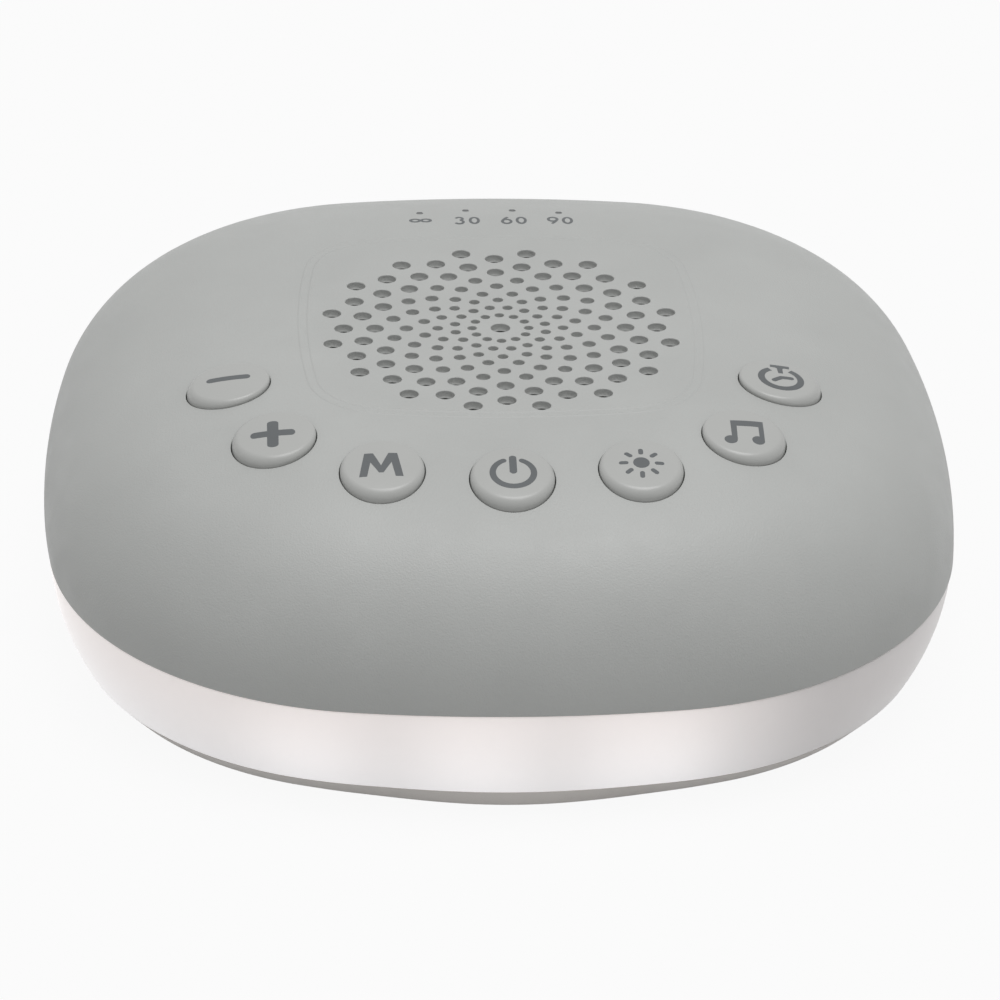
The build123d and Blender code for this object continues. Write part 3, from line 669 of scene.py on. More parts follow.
shell_plastic = plastic("shell_plastic", SHELL_GREY, 0.48, 4200.0, 0.00005)
cap_plastic = plastic("cap_plastic", CAP_GREY, 0.36, 1500.0, 0.000006, 0.01)
# painted light: the base is the shell's plastic, coloured lighter because little light reaches it
painted_light_base_plastic = plastic("painted_light_base_plastic", PAINTED_LIGHT_BASE_GREY, 0.5, 4200.0, 0.00003)
ink = plastic("print_ink", INK_GREY, 0.42, 6000.0, 0.000004, 0.05)
dark_plastic = plastic("dark_plastic", (0.02, 0.02, 0.022), 0.45, 3000.0, 0.00001)
smoked = plastic("smoked_window", (0.13, 0.135, 0.135), 0.3, 3000.0, 0.000003)
board_plastic = plastic("board_mask", (0.70, 0.71, 0.67), 0.35, 1200.0, 0.00001)
clear_plastic = plastic("light_pipe_plastic", (0.8, 0.8, 0.8), 0.12, 1500.0, 0.000004)
pad_rubber = plastic("pad_rubber", (0.075, 0.075, 0.078), 0.75, 2600.0, 0.00004, 0.1)
foam = plastic("gasket_foam", (0.015, 0.015, 0.015), 0.95, 1800.0, 0.0001, 0.2)
paper = plastic("cone_paper", (0.012, 0.012, 0.013), 0.85, 900.0, 0.00006, 0.2)
ferrite = plastic("ferrite", (0.02, 0.02, 0.022), 0.6, 1200.0, 0.00003, 0.2)
spider_cloth = woven("spider_cloth", (0.40, 0.26, 0.09), 0.0005)
dust_cloth = woven("dust_cloth", (0.03, 0.03, 0.03), 0.00035)
steel = metal("plated_steel", (0.56, 0.57, 0.58), 0.32)
copper = metal("coil_copper", (0.62, 0.30, 0.14), 0.35)
can_metal = metal("can_aluminium", (0.70, 0.71, 0.72), 0.28)
band_plastic = band_material()


# ---- upper shell
def shell_profile():
    """Rows of the shell from inside its lower rim out and up to the dome."""
    rim = 0.25
    inset = side_inset(SHELL_SEAM + rim)
    profile = [
        (SHELL_WALL, SHELL_SEAM + 3.0, -1, 0),
        (SHELL_WALL, SHELL_SEAM, -1, -0.4),
        (inset + rim, SHELL_SEAM, 0.3, -1),
        (inset + 0.3 * rim, SHELL_SEAM + 0.3 * rim, 0.7, -0.7),
        (inset, SHELL_SEAM + rim, 1, -0.05),
    ]
    steps = 26
    rim_turn = acos(1 - RIM_INSET / SHOULDER_RADIUS)
    for step in range(steps + 1):
        turn = rim_turn * step / steps
        level = WIDE_LEVEL + SHOULDER_RADIUS * sin(turn)
        profile.append((SHOULDER_RADIUS * (1 - cos(turn)), level, cos(turn), sin(turn)))
    return profile


def shell_openings():
    """(x, y, radius, points round it, rounding, depth) of each hole, key opening and window in the dome."""
    holes = [(*hole, HOLE_SEGMENTS, HOLE_EASE, GRILLE_WALL) for hole in grille_holes()]
    key = (KEY_OPENING, KEY_SEGMENTS, OPENING_EASE, WELL_DEPTH)
    window = (WINDOW_RADIUS, HOLE_SEGMENTS, WINDOW_EASE, WELL_DEPTH)
    return (holes + [(*key_place(name), *key) for name in KEY_ANGLES]
            + [(*place, *window) for place in window_places()])


def outside(x, y, circles):
    """Whether a plan point lies outside all circles."""
    return all(hypot(x - cx, y - cy) > radius for cx, cy, radius in circles)


def dome_points():
    """Free mesh points of the dome, in rows that keep its shading even."""
    keys = [key_place(name) for name in KEY_ANGLES]
    clear = [(*place, KEY_OPENING + 1.9) for place in keys]
    clear += [(*place, WINDOW_RADIUS + 0.3) for place in window_places()]
    free = []
    for x, y in keys:
        for reach in (0.5, 1.0, 1.5):
            free += circle(x, y, KEY_OPENING + OPENING_EASE + reach, KEY_SEGMENTS)
    pitch = 1.1
    inset = RIM_INSET + pitch
    while inset < FIELD_INSET - 0.8:
        for share in SHARES[::2]:
            point = outline_point(share, inset)[0]
            if outside(*point, clear):
                free.append(tuple(point))
        inset += pitch
    return free


def opening_rows(x, y, radius, ease, depth):
    """(narrowing, level, upward part of the normal) down the wall of an opening, below its rounded edge."""
    if depth == WELL_DEPTH:
        return [(0, skin_at(x, y) - depth, 0)]
    rows = []
    for turn in BOWL_TURNS:
        narrow = GRILLE_BOWL * (1 - cos(turn)) * min(radius, 1)
        steep = GRILLE_BOWL / GRILLE_BOWL_DEPTH * tan(turn)
        rows.append((narrow, ROOF_LEVEL - ease - (GRILLE_BOWL_DEPTH - ease) * sin(turn), steep))
    return rows + [(narrow, ROOF_LEVEL - depth, 0)]


def shell_piece():
    """Upper shell: ringed side, triangulated dome and the walls of its openings."""
    skin = Skin()
    rim = add_rings(skin, shell_profile())[-1]
    plans = [[(skin.points[i].x, skin.points[i].y) for i in rim]]
    insets = [FIELD_INSET + shift for shift in (-0.25, -0.08, 0.06, 0.2, 0.4)]
    insets += [PLATEAU_INSET + shift for shift in (-0.4, -0.2, -0.06, 0.08, 0.25)]
    for inset in insets:
        plans.append([tuple(outline_point(share, inset)[0]) for share in SHARES[::2]])
    first_opening = len(plans)
    openings = shell_openings()
    plans += [circle(x, y, radius + ease, count) for x, y, radius, count, ease, _ in openings]
    clear = [(x, y, (radius + ease) * cos(pi / count) - 1e-4) for x, y, radius, count, ease, _ in openings]

    def keep(x, y):
        return inset_at(x, y)[0] >= RIM_INSET and outside(x, y, clear)

    def put(x, y):
        return skin.add((x, y, skin_at(x, y)), skin_normal(x, y))

    loops = skin.fill(plans, dome_points(), keep, rim, put)
    for opening, edge, plan in zip(openings, loops[first_opening:], plans[first_opening:]):
        x, y, radius, count, ease, depth = opening
        walls = [edge]
        for share in (0.35, 0.7, 1.0):
            turn = share * pi / 2
            points = [(px, py, skin_at(*above) - ease * (1 - cos(turn)))
                      for (px, py), above in zip(circle(x, y, radius + ease * (1 - sin(turn)), count), plan)]
            walls.append(skin.wall(points, (x, y), -sin(turn), cos(turn)))
        for narrow, level, steep in opening_rows(x, y, radius, ease, depth):
            walls.append(skin.wall(raised(circle(x, y, radius - narrow, count), level), (x, y), -1, steep))
        skin.stack(walls)
    skin.make("upper_shell", shell_plastic, "housing", "shell", "top_shell")


# ---- keys
def key_piece(name):
    """Key cap with a softly rounded edge, retaining lugs and stem."""
    skin = Skin()
    cx, cy = key_place(name)
    plunger_top = node_box(f"{name}_plunger")[1].z
    angle = radians(KEY_ANGLES[name])
    up = key_normal(name)
    downhill = Vector((up.x, up.y, 0)).normalized()
    centre = skin.add((cx, cy, key_top(name, cx, cy)), up)
    loops = []
    rows = [(step / 4, 0.0) for step in range(1, 5)] + [(1.0, pi / 2 * step / 10) for step in range(1, 11)]
    for share, turn in rows:
        ids = []
        for x, y in circle(0, 0, 1, KEY_SEGMENTS):
            out = Vector((x, y, 0))
            edge = KEY_EDGE_FAR + (KEY_EDGE - KEY_EDGE_FAR) * (1 + out.dot(downhill)) / 2
            radius = (KEY_RADIUS - edge) * share + edge * sin(turn)
            lean = 2 * KEY_CROWN * radius / KEY_RADIUS ** 2
            normal = (up + out * lean).normalized() * cos(turn) + out * sin(turn)
            px, py = cx + radius * x, cy + radius * y
            ids.append(skin.add((px, py, key_top(name, px, py) - edge * (1 - cos(turn))), normal))
        loops.append(ids)
    collar = plunger_top + 0.3
    foot = skin.wall(raised(circle(cx, cy, KEY_RADIUS, KEY_SEGMENTS), collar), (cx, cy), 1, 0)
    skin.fan(loops[0], centre)
    skin.stack(loops + [foot], down=True)
    under = [skin.add(skin.points[i], (0, 0, -1)) for i in foot]
    skin.faces.append(under[::-1])
    for step in range(KEY_LUGS):
        turn = angle + 2 * pi * step / KEY_LUGS
        add_box(skin, (cx, cy), turn, (KEY_RADIUS - 1, KEY_RADIUS + 1.3), (-1.5, 1.5), (collar, collar + 1.2))
    add_box(skin, (cx, cy), angle, (-1.6, 1.6), (-1.6, 1.6), (plunger_top, collar))
    skin.make(f"{name}_cap", cap_plastic, f"{name}_button", "key", f"{name}_key")


def add_box(skin, centre, turn, along, across, levels):
    """Box in a turned plan frame about a centre."""
    spin = Matrix.Rotation(turn, 2)
    sides = [along, across, levels]
    for axis in range(3):
        one, two = [side for number, side in enumerate(sides) if number != axis]
        for end in (0, 1):
            normal = [0.0, 0.0, 0.0]
            normal[axis] = 1.0 if end else -1.0
            flat = spin @ Vector(normal[:2])
            ids = []
            for a, b in ((0, 0), (1, 0), (1, 1), (0, 1)):
                local = [one[a], two[b]]
                local.insert(axis, sides[axis][end])
                plan = spin @ Vector(local[:2])
                point = (centre[0] + plan.x, centre[1] + plan.y, local[2])
                ids.append(skin.add(point, (flat.x, flat.y, normal[2])))
            if (end == 1) == (axis == 1):
                ids.reverse()
            skin.faces.append(ids)


# ---- printed marks
def round_end(end, before, radius):
    """Points round the end of a stroke that comes from another point."""
    way = (Vector(end) - Vector(before)).normalized()
    start = atan2(-way.x, way.y)
    turns = [start + pi * step / 10 for step in range(1, 10)]
    return [Vector(end) + Vector((cos(turn), sin(turn))) * radius for turn in turns]


def ribbon(points, width, closed=False, round_ends=True):
    """Loops that bound a stroke along plan points."""
    half = width / 2
    count = len(points)
    left = []
    right = []
    for step in range(count):
        here = Vector(points[step])
        directions = []
        if closed or step > 0:
            directions.append((here - Vector(points[step - 1])).normalized())
        if closed or step < count - 1:
            directions.append((Vector(points[(step + 1) % count]) - here).normalized())
        way = sum(directions, Vector((0, 0))).normalized()
        side = Vector((-way.y, way.x))
        stretch = 1 / max(side.dot(Vector((-directions[0].y, directions[0].x))), 0.4)
        left.append(here + side * half * stretch)
        right.append(here - side * half * stretch)
    if closed:
        return [left, right]
    if not round_ends:
        return [right + left[::-1]]
    last, first = round_end(points[-1], points[-2], half), round_end(points[0], points[1], half)
    return [right + last + left[::-1] + first]


def inside(point, loop):
    """Whether a plan point lies inside a closed loop."""
    x, y = point
    hit = False
    for one, two in zip(loop, after(loop)):
        if (one[1] > y) != (two[1] > y) and x < (two[0] - one[0]) * (y - one[1]) / (two[1] - one[1]) + one[0]:
            hit = not hit
    return hit


def divided(loop):
    """Closed loop with its long sides divided, so that it can follow a curved face."""
    points = []
    for one, two in zip(loop, after(loop)):
        one, two = Vector(one), Vector(two)
        parts = int((two - one).length / PRINT_PITCH) + 1
        points += [tuple(one.lerp(two, step / parts)) for step in range(parts)]
    return points


def print_piece(name, shapes, level, body):
    """Thin layer of ink on a surface: each shape is a list of loops that bound it."""
    shapes = [[divided(loop) for loop in loops] for loops in shapes]
    every = [loop for loops in shapes for loop in loops]

    def keep(x, y):
        return any(sum(inside((x, y), loop) for loop in loops) % 2 == 1 for loops in shapes)

    def spots(values):
        count = int((max(values) - min(values)) / PRINT_PITCH)
        return [min(values) + PRINT_PITCH * (step + 0.5) for step in range(count)]

    xs, ys = zip(*(point for loop in every for point in loop))
    verts, faces, _ = triangulate(every, [(x, y) for x in spots(xs) for y in spots(ys)], keep)
    bm = bmesh.new()
    tops, lows = [[bm.verts.new(Vector((v.x, v.y, level(v.x, v.y) + rise)) * MM) for v in verts]
                  for rise in (INK_RISE, -2 * INK_RISE)]
    edges = set()
    for face in faces:
        a, b, c = face[:3]
        if (verts[b] - verts[a]).cross(verts[c] - verts[a]) < 0:
            face = face[::-1]
        bm.faces.new([tops[v] for v in face])
        bm.faces.new([lows[v] for v in reversed(face)])
        edges.update(zip(face, after(face)))
    for one, two in sorted(edges):
        if (two, one) not in edges:
            bm.faces.new([lows[one], lows[two], tops[two], tops[one]])
    bmesh.ops.delete(bm, geom=[v for v in bm.verts if not v.link_faces], context="VERTS")
    obj = bmesh_object(name, bm)
    obj.data.materials.append(ink)
    as_piece(obj, body)


def arc(x, y, radius, first, last, steps=40):
    """Points of an arc between two headings in degrees."""
    turns = [radians(first + (last - first) * step / steps) for step in range(steps + 1)]
    return [(x + radius * cos(turn), y + radius * sin(turn)) for turn in turns]


def oval(x, y, wide, tall, count=36):
    """Closed oval of given half sizes."""
    return moved([[Vector((wide * px, tall * py)) for px, py in circle(0, 0, 1, count)]], x, y)[0]


def moved(loops, x, y):
    """Loops shifted in plan."""
    return [[(x + point[0], y + point[1]) for point in loop] for loop in loops]


def key_marks():
    """Shapes of each key's mark about the middle of its cap, measured on the photographed caps."""
    plus = []
    rounding = 0.5
    for quarter, (reach, half, side) in enumerate([(2.84, 0.63, 0.72), (2.86, 0.72, 0.63)] * 2):
        spin = Matrix.Rotation(quarter * pi / 2, 2)
        arm = [(side, -half)]
        arm += [(reach - rounding + rounding * x, half * y) for x, y in arc(0, 0, 1, -90, 90, 8)]
        plus += [tuple(spin @ Vector(point)) for point in arm]
    half = [(0.29, -1.63), (1.33, 0.36), (1.79, -2.28), (2.78, -2.28), (2.07, 2.24), (0.97, 2.24)]
    letter = half + [(0, -0.31)] + [(-x, y) for x, y in reversed(half)]
    gap = 27
    rays = zip(circle(0, 0, 1.96, 8), circle(0, 0, 2.55, 8))
    beam = [(-1.68, -2.1), (-0.97, -2.1), (-0.93, 0.86), (1.86, 1.08), (1.88, -1.9), (2.50, -1.9),
            (2.51, 2.44), (-1.68, 2.06)]
    crown = [(-0.16, 1.0), (0.44, 1.0), (0.5, 2.45), (0.7, 2.62), (1.36, 2.6), (1.43, 3.38), (-1.08, 3.38),
             (-1.1, 2.66), (-0.5, 2.62), (-0.26, 2.4)]
    return {
        "minus": [ribbon([(-2.27, 0.28), (2.27, 0.25)], 1.12)],
        "plus": [moved([plus], -0.15, -0.19)],
        "mode": [moved([letter], -0.17, 0)],
        "power": [ribbon(arc(0.08, -0.08, 2.59, 90 + gap, 450 - gap), 0.80),
                  ribbon([(0.09, 0.07), (0.09, 2.79)], 0.94)],
        "light": [[oval(-0.03, 0, 1.04, 1.04)]] + [ribbon(ray, 0.62) for ray in rays],
        "music": [[beam], [oval(-1.83, -2.15, 0.84, 0.80)], [oval(1.69, -1.88, 0.81, 0.84)]],
        "timer": [ribbon(arc(0.09, -0.3, 2.56, 120, 420), 0.88, round_ends=False), [crown],
                  ribbon([(-0.82, -1.0), (0.16, -0.16), (1.42, -0.08)], 0.74)],
    }


KEY_MARKS = key_marks()


def key_print(name):
    """Mark printed on a key's cap."""
    shapes = [moved(loops, *key_place(name)) for loops in KEY_MARKS[name]]
    print_piece(f"{name}_print", shapes, lambda x, y: key_top(name, x, y), f"{name}_button")


def digit_strokes(digit):
    """Strokes of a digit in a cell one unit high, from its lower left corner."""
    if digit == "0":
        return [ribbon(oval(0.35, 0.5, 0.265, 0.42), STROKE, closed=True)]
    if digit == "3":
        return [ribbon(arc(0.33, 0.735, 0.215, 160, -80, 20), STROKE, round_ends=False),
                ribbon(arc(0.33, 0.285, 0.255, 80, -155, 20), STROKE, round_ends=False)]
    loops = [ribbon(arc(0.36, 0.34, 0.28, 0, 360, 36)[:-1], STROKE, closed=True),
             ribbon([(0.085, 0.36), (0.15, 0.56), (0.27, 0.76), (0.44, 0.96)], STROKE, round_ends=False)]
    if digit == "9":
        loops = [[[(0.72 - x, 1 - y) for x, y in loop] for loop in shape] for shape in loops]
    return loops


def timer_print():
    """Endless sign and minutes below the timer windows."""
    shapes = []
    for (x, _), text in zip(window_places(), ("endless", "30", "60", "90")):
        if text == "endless":
            for side in (-1, 1):
                middle = (x + side * ENDLESS_REACH, MINUTES_BASE + DIGIT_TALL * 0.54)
                shapes.append(ribbon(moved([oval(0, 0, 0.61, 0.56)], *middle)[0], 0.44, closed=True))
            continue
        for number, digit in enumerate(text):
            left = x - DIGIT_PITCH + DIGIT_SHIFT + number * DIGIT_PITCH * DIGIT_SPREAD
            for shape in digit_strokes(digit):
                shapes.append([[(left + px * DIGIT_TALL * DIGIT_NARROW, MINUTES_BASE + py * DIGIT_TALL)
                                for px, py in loop] for loop in shape])
    print_piece("minutes_print", shapes, skin_at, "housing")


def window_piece(number, x, y):
    """End of a light pipe in its window."""
    skin = Skin()
    normal = skin_normal(x, y)
    edge = circle(x, y, WINDOW_RADIUS - WINDOW_GAP, HOLE_SEGMENTS)
    centre = skin.add((x, y, skin_at(x, y) - 0.03), normal)
    ring = [skin.add((px, py, skin_at(px, py) - 0.05), normal) for px, py in edge]
    low = skin.wall([(px, py, skin_at(px, py) - WINDOW_DEPTH) for px, py in edge], (x, y), 1, 0)
    skin.fan(ring, centre)
    skin.stack([low, ring])
    skin.make(f"timer_window_{number}", smoked, "housing", "light_pipe")


# ---- light band
def band_profile():
    """Rows of the light band from under its lower edge out, up and over its upper edge."""
    low = side_inset(BASE_SEAM) + BAND_REVEAL
    top = side_inset(SHELL_SEAM) + BAND_REVEAL
    soft = 0.3 * BAND_EASE
    tall = SHELL_SEAM - 2 * BAND_EASE - BASE_SEAM
    profile = [(low + BAND_WALL + 3, BASE_SEAM, 0, -1), (low + BAND_EASE, BASE_SEAM, 0, -1),
               (low + soft, BASE_SEAM + soft, 0.7, -0.9)]
    for step in range(BAND_ROWS + 1):
        level = BASE_SEAM + BAND_EASE + tall * step / BAND_ROWS
        profile.append((side_inset(level) + BAND_REVEAL, level, 1.0, side_lean(level)))
    return profile + [(top + soft, SHELL_SEAM - soft, 0.7, 0.7), (top + BAND_EASE, SHELL_SEAM, 0, 1),
                      (top + BAND_WALL, SHELL_SEAM, 0, 1)]


def rear_point(x, z, sink=0.0):
    """Point of the light band's rear face, or sunk below it."""
    inset = side_inset(z) + BAND_REVEAL + sink + lower_shift(asin(x / SIDE_RADIUS), z)[0]
    return x, sqrt((SIDE_RADIUS - inset) ** 2 - x ** 2) - SIDE_OFFSET, z


def cut_faces(skin, gone):
    """Take faces out of a skin; returns the loop of vertices round the gap."""
    edges = [edge for face in gone for edge in zip(face, after(face))]
    known = set(edges)
    border = {one: two for one, two in edges if (two, one) not in known}
    run = [next(iter(border))]
    while border[run[-1]] != run[0]:
        run.append(border[run[-1]])
    chosen = set(gone)
    skin.faces = [face for face in skin.faces if face not in chosen]
    return run


def band_piece():
    """Light band with softened edges and the opening for the power socket."""
    skin = Skin()
    add_rings(skin, band_profile())
    low, high = node_box("power_port")
    port = Vector(((low.x + high.x) / 2, (low.z + high.z) / 2))
    wide, tall = PORT_SIZE[0] / 2, PORT_SIZE[1] / 2

    def near_port(point):
        return (point.y > BODY_HALF - REAR_REACH and abs(point.x - port.x) < wide + PORT_MARGIN
                and abs(point.z - port.y) < tall + PORT_MARGIN and point.z > BASE_SEAM + BAND_EASE)

    # the rear faces near the socket are taken out and filled round the opening's edge
    run = cut_faces(skin, [face for face in skin.faces if all(near_port(skin.points[v]) for v in face)])
    stadium = []
    for side in (1, -1):
        for step in range(PORT_STEPS + 1):
            turn = side * pi / 2 - pi * step / PORT_STEPS
            stadium.append((port.x + side * (wide - tall) + tall * cos(turn), port.y + tall * sin(turn)))

    def put(x, z):
        return skin.add(rear_point(x, z), (x / SIDE_RADIUS, 1, side_lean(z)))

    outer = [(skin.points[i].x, skin.points[i].z) for i in run]
    edge = skin.fill([outer, stadium], [], lambda x, z: not inside((x, z), stadium), run, put, flip=True)[1]
    walls = [edge]
    for sink in (0.12, BAND_WALL):
        ids = []
        for x, z in stadium:
            way = (port - Vector((x, z))).normalized()
            point = rear_point(x - way.x * PORT_EASE, z - way.y * PORT_EASE, sink)
            ids.append(skin.add(point, (way.x, 0, way.y)))
        walls.append(ids)
    skin.stack(walls)
    skin.make("band_guide", band_plastic, "housing", "band", "light_band")


# ---- base, feet and screws
def base_profile():
    """Rows of the base cover from under its lower edge out and up to the light band."""
    low = side_inset(FOOT_STAND)
    top = side_inset(BASE_SEAM)
    rows = [(low + BASE_EASE + 0.4, FOOT_STAND, 0, -1)]
    for step in range(7):
        turn = pi / 2 * step / 6 * BASE_EASE_PART
        inset = low + BASE_EASE * (1 - sin(turn)) + 0.05
        rows.append((inset, FOOT_STAND + BASE_EASE * (1 - cos(turn)), sin(turn), -cos(turn)))
    return rows + [(top + 0.38, BASE_SEAM - 0.12, 1, -0.4), (top + 0.5, BASE_SEAM, 0.3, 1),
                   (top + 2.5, BASE_SEAM, 0, 1)]


def add_recess(skin, edge, middle, outline, rows):
    """Walls of a recess in the base's underside; outline(spread) gives its loop, widened by spread."""
    loops = [edge]
    for spread, rise, out, up in rows:
        loops.append(skin.wall(raised(outline(spread), FOOT_STAND + rise), middle, -out, up))
    skin.stack(loops, down=True)
    return loops[-1]


def base_piece():
    """Base cover with a rounded lower edge, screw recesses and foot recesses."""
    skin = Skin()
    rim = add_rings(skin, base_profile())[0]
    plans = [[(skin.points[i].x, skin.points[i].y) for i in rim]]
    screws = [node_middle(f"housing_screw_{number}") for number in range(1, 5)]
    feet = [(*node_middle(f"foot_{number}"), node_half(f"foot_{number}") + FOOT_GAP)
            for number in range(1, 5)]
    corner = FOOT_CORNER + FOOT_GAP
    plans += [circle(x, y, RECESS_RADIUS + RECESS_RIM, ROUND_SEGMENTS) for x, y in screws]
    plans += [rounded_square(x, y, half + FOOT_RIM, corner + FOOT_GAP) for x, y, half in feet]

    def keep(x, y):
        return not any(inside((x, y), loop) for loop in plans[1:])

    def put(x, y):
        return skin.add((x, y, FOOT_STAND), (0, 0, -1))

    loops = skin.fill(plans, [], keep, rim, put, flip=True)
    for (x, y), edge in zip(screws, loops[1:5]):
        edge = add_recess(skin, edge, (x, y),
                          lambda spread: circle(x, y, RECESS_RADIUS + spread, ROUND_SEGMENTS),
                          ((0.08, 0.08, 0.7, -0.7), (0, 0.25, 1, 0), (0, 3.0, 1, 0)))
        flat = [skin.add(skin.points[i], (0, 0, -1)) for i in edge]
        skin.faces.append(flat[::-1])
    for (x, y, half), edge in zip(feet, loops[5:]):
        add_recess(skin, edge, (x, y), lambda spread: rounded_square(x, y, half + spread, corner),
                   ((0.04, 0.05, 1, -0.7), (0, 0.15, 1, 0), (0, 0.8, 1, 0)))
    skin.make("base_shell", painted_light_base_plastic, "housing", "base", "base_cover")


def foot_piece(number):
    """Soft pad with a rounded rim and a slightly domed underside."""
    skin = Skin()
    name = f"foot_{number}"
    low, high = node_box(name)
    x, y = node_middle(name)
    half = node_half(name)
    rows = [(0.0, high.z, 1, 0), (0.0, low.z + 0.5, 1, 0), (0.1, low.z + 0.2, 0.8, -0.5),
            (0.35, low.z + 0.05, 0.4, -1), (0.8, low.z, 0, -1)]
    loops = []
    for inset, level, out, up in rows:
        loop = rounded_square(x, y, half - inset, max(FOOT_CORNER - inset, 0.8))
        loops.append(skin.wall(raised(loop, level), (x, y), out, up))
    skin.stack(loops, down=True)
    skin.faces.append(loops[-1][::-1])
    skin.faces.append(loops[0])
    skin.make(f"foot_pad_{number}", pad_rubber, "housing", "foot", name)


def cross_cutter(x, y, level):
    """Tapered cross that cuts a screw's recess."""
    bm = bmesh.new()
    for wide, deep in ((CROSS_LONG, CROSS_WIDE), (CROSS_WIDE, CROSS_LONG)):
        for v in bmesh.ops.create_cube(bm, size=1)["verts"]:
            taper = CROSS_TAPER if v.co.z > 0 else 1
            v.co = Vector((x + v.co.x * wide * taper, y + v.co.y * deep * taper, level + v.co.z * 1.6)) * MM
    return bmesh_object("cross", bm)


def screw_piece(number):
    """Pan-head screw with a cross recess, seen in the base's recess."""
    node = f"housing_screw_{number}"
    low, high = node_box(node)
    x, y = node_middle(node)
    seat = low.z + SCREW_SEAT
    rows = [(0.001, low.z), (1.2, low.z + 0.06), (2.0, low.z + 0.25), (2.5, low.z + 0.7),
            (SCREW_HEAD, low.z + 1.2), (SCREW_HEAD, seat), (SCREW_SHANK, seat),
            (SCREW_SHANK, high.z - 1), (0.6, high.z)]
    bm = bmesh.new()
    rings = []
    for radius, level in rows:
        loop = raised(circle(x, y, radius, SCREW_SEGMENTS), level)
        rings.append([bm.verts.new(Vector(point) * MM) for point in loop])
    for one, two in zip(rings, rings[1:]):
        for corners in zip(one, after(one), after(two), two):
            bm.faces.new(corners)
    bm.faces.new(rings[0][::-1])
    bm.faces.new(rings[-1])
    bmesh.ops.recalc_face_normals(bm, faces=bm.faces)
    obj = bmesh_object(f"base_screw_{number}", bm)
    cutter = cross_cutter(x, y, low.z + 0.5)
    cut = obj.modifiers.new("cross", "BOOLEAN")
    cut.operation = "DIFFERENCE"
    cut.solver = "EXACT"
    cut.use_self = True
    cut.object = cutter
    final = bpy.data.meshes.new_from_object(obj.evaluated_get(bpy.context.evaluated_depsgraph_get()))
    obj.modifiers.clear()
    obj.data = final
    bpy.data.objects.remove(cutter)
    final.shade_smooth()
    final.set_sharp_from_angle(angle=radians(35))
    final.materials.clear()
    final.materials.append(steel)
    as_piece(obj, "housing", node)


# ---- soft rings of the loudspeaker
def add_grid(skin, ids):
    """Faces of a grid of vertices."""
    for one, two in zip(ids, ids[1:]):
        skin.faces += zip(one, one[1:], two[1:], two)


def ring_part(rows, middle):
    """Skin of one part of a ring of (radius, lower level, upper level) rows."""
    skin = Skin()
    places = range(len(rows))
    spread = [pi / RING_PARTS * (2 * step / PART_STEPS - 1) for step in range(PART_STEPS + 1)]
    turns = [middle + turn for turn in spread]
    slopes = []
    for place in places:
        inner, outer = rows[max(place - 1, 0)], rows[min(place + 1, places[-1])]
        slopes.append((outer[2] - inner[2]) / (outer[0] - inner[0]))

    def corner(place, side, turn, out, up, across=0):
        radius, level = rows[place][0], rows[place][side]
        point = (radius * cos(turn), GRILLE_Y + radius * sin(turn), level)
        normal = (out * cos(turn) + across * sin(turn), out * sin(turn) - across * cos(turn), up)
        return skin.add(point, normal)

    add_grid(skin, [[corner(place, 2, turn, -slopes[place], 1) for place in places] for turn in turns])
    add_grid(skin, [[corner(place, 1, turn, slopes[place], -1) for place in places[::-1]] for turn in turns])
    add_grid(skin, [[corner(places[-1], side, turn, 1, 0) for side in (2, 1)] for turn in turns])
    add_grid(skin, [[corner(0, side, turn, -1, 0) for side in (1, 2)] for turn in turns])
    add_grid(skin, [[corner(place, side, turns[0], 0, 0, 1) for place in places] for side in (1, 2)])
    add_grid(skin, [[corner(place, side, turns[-1], 0, 0, -1) for place in places] for side in (2, 1)])
    return skin


def soft_ring(name, rows, material, slot, node, outer):
    """Ring between two radii, made of separate parts."""
    for part in range(RING_PARTS):
        middle = 2 * pi * part / RING_PARTS
        obj = ring_part(rows, middle).make(f"{name}_{part + 1}", material, None, slot, node)
        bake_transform(obj)


def surround_rows():
    """Half roll between two glued flats, and the radius where the outer flat begins."""
    low, high = node_box("cone_surround")
    reach = node_half("cone_surround")
    rim = reach - SURROUND_LAND
    middle, half = (rim + CONE_RIM) / 2, (rim - CONE_RIM) / 2
    height = high.z - low.z - SURROUND_SKIN
    rows = [(CONE_RIM - SURROUND_LAND, 0), (CONE_RIM - 0.1, 0)]
    for step in range(1, 16):
        turn = pi * step / 16
        rows.append((middle - half * cos(turn), height * sin(turn)))
    rows += [(rim + 0.1, 0), (reach, 0)]
    return [(radius, low.z + rise, low.z + rise + SURROUND_SKIN) for radius, rise in rows], rim


def spider_rows():
    """Cloth disc with rolled corrugations between its glued edges, and its outer radius."""
    low, high = node_box("cone_spider")
    bore = COIL_RADIUS + 0.08
    reach = node_half("cone_spider") - 0.05
    rows = []
    for step in range(SPIDER_STEPS + 1):
        share = step / SPIDER_STEPS
        wave = SPIDER_WAVE * sin(2 * pi * SPIDER_ROLLS * share) * min(4 * share, 4 * (1 - share), 1)
        middle = (low.z + high.z) / 2 + wave
        radius = bore + (reach - bore) * share
        rows.append((radius, middle - SPIDER_THICKNESS / 2, middle + SPIDER_THICKNESS / 2))
    return rows, reach


def soft_rings():
    """Surround and spider of the loudspeaker."""
    rows, rim = surround_rows()
    soft_ring("surround_part", rows, pad_rubber, "surround", "cone_surround", rim)
    rows, reach = spider_rows()
    soft_ring("spider_part", rows, spider_cloth, "spider", "cone_spider", reach)


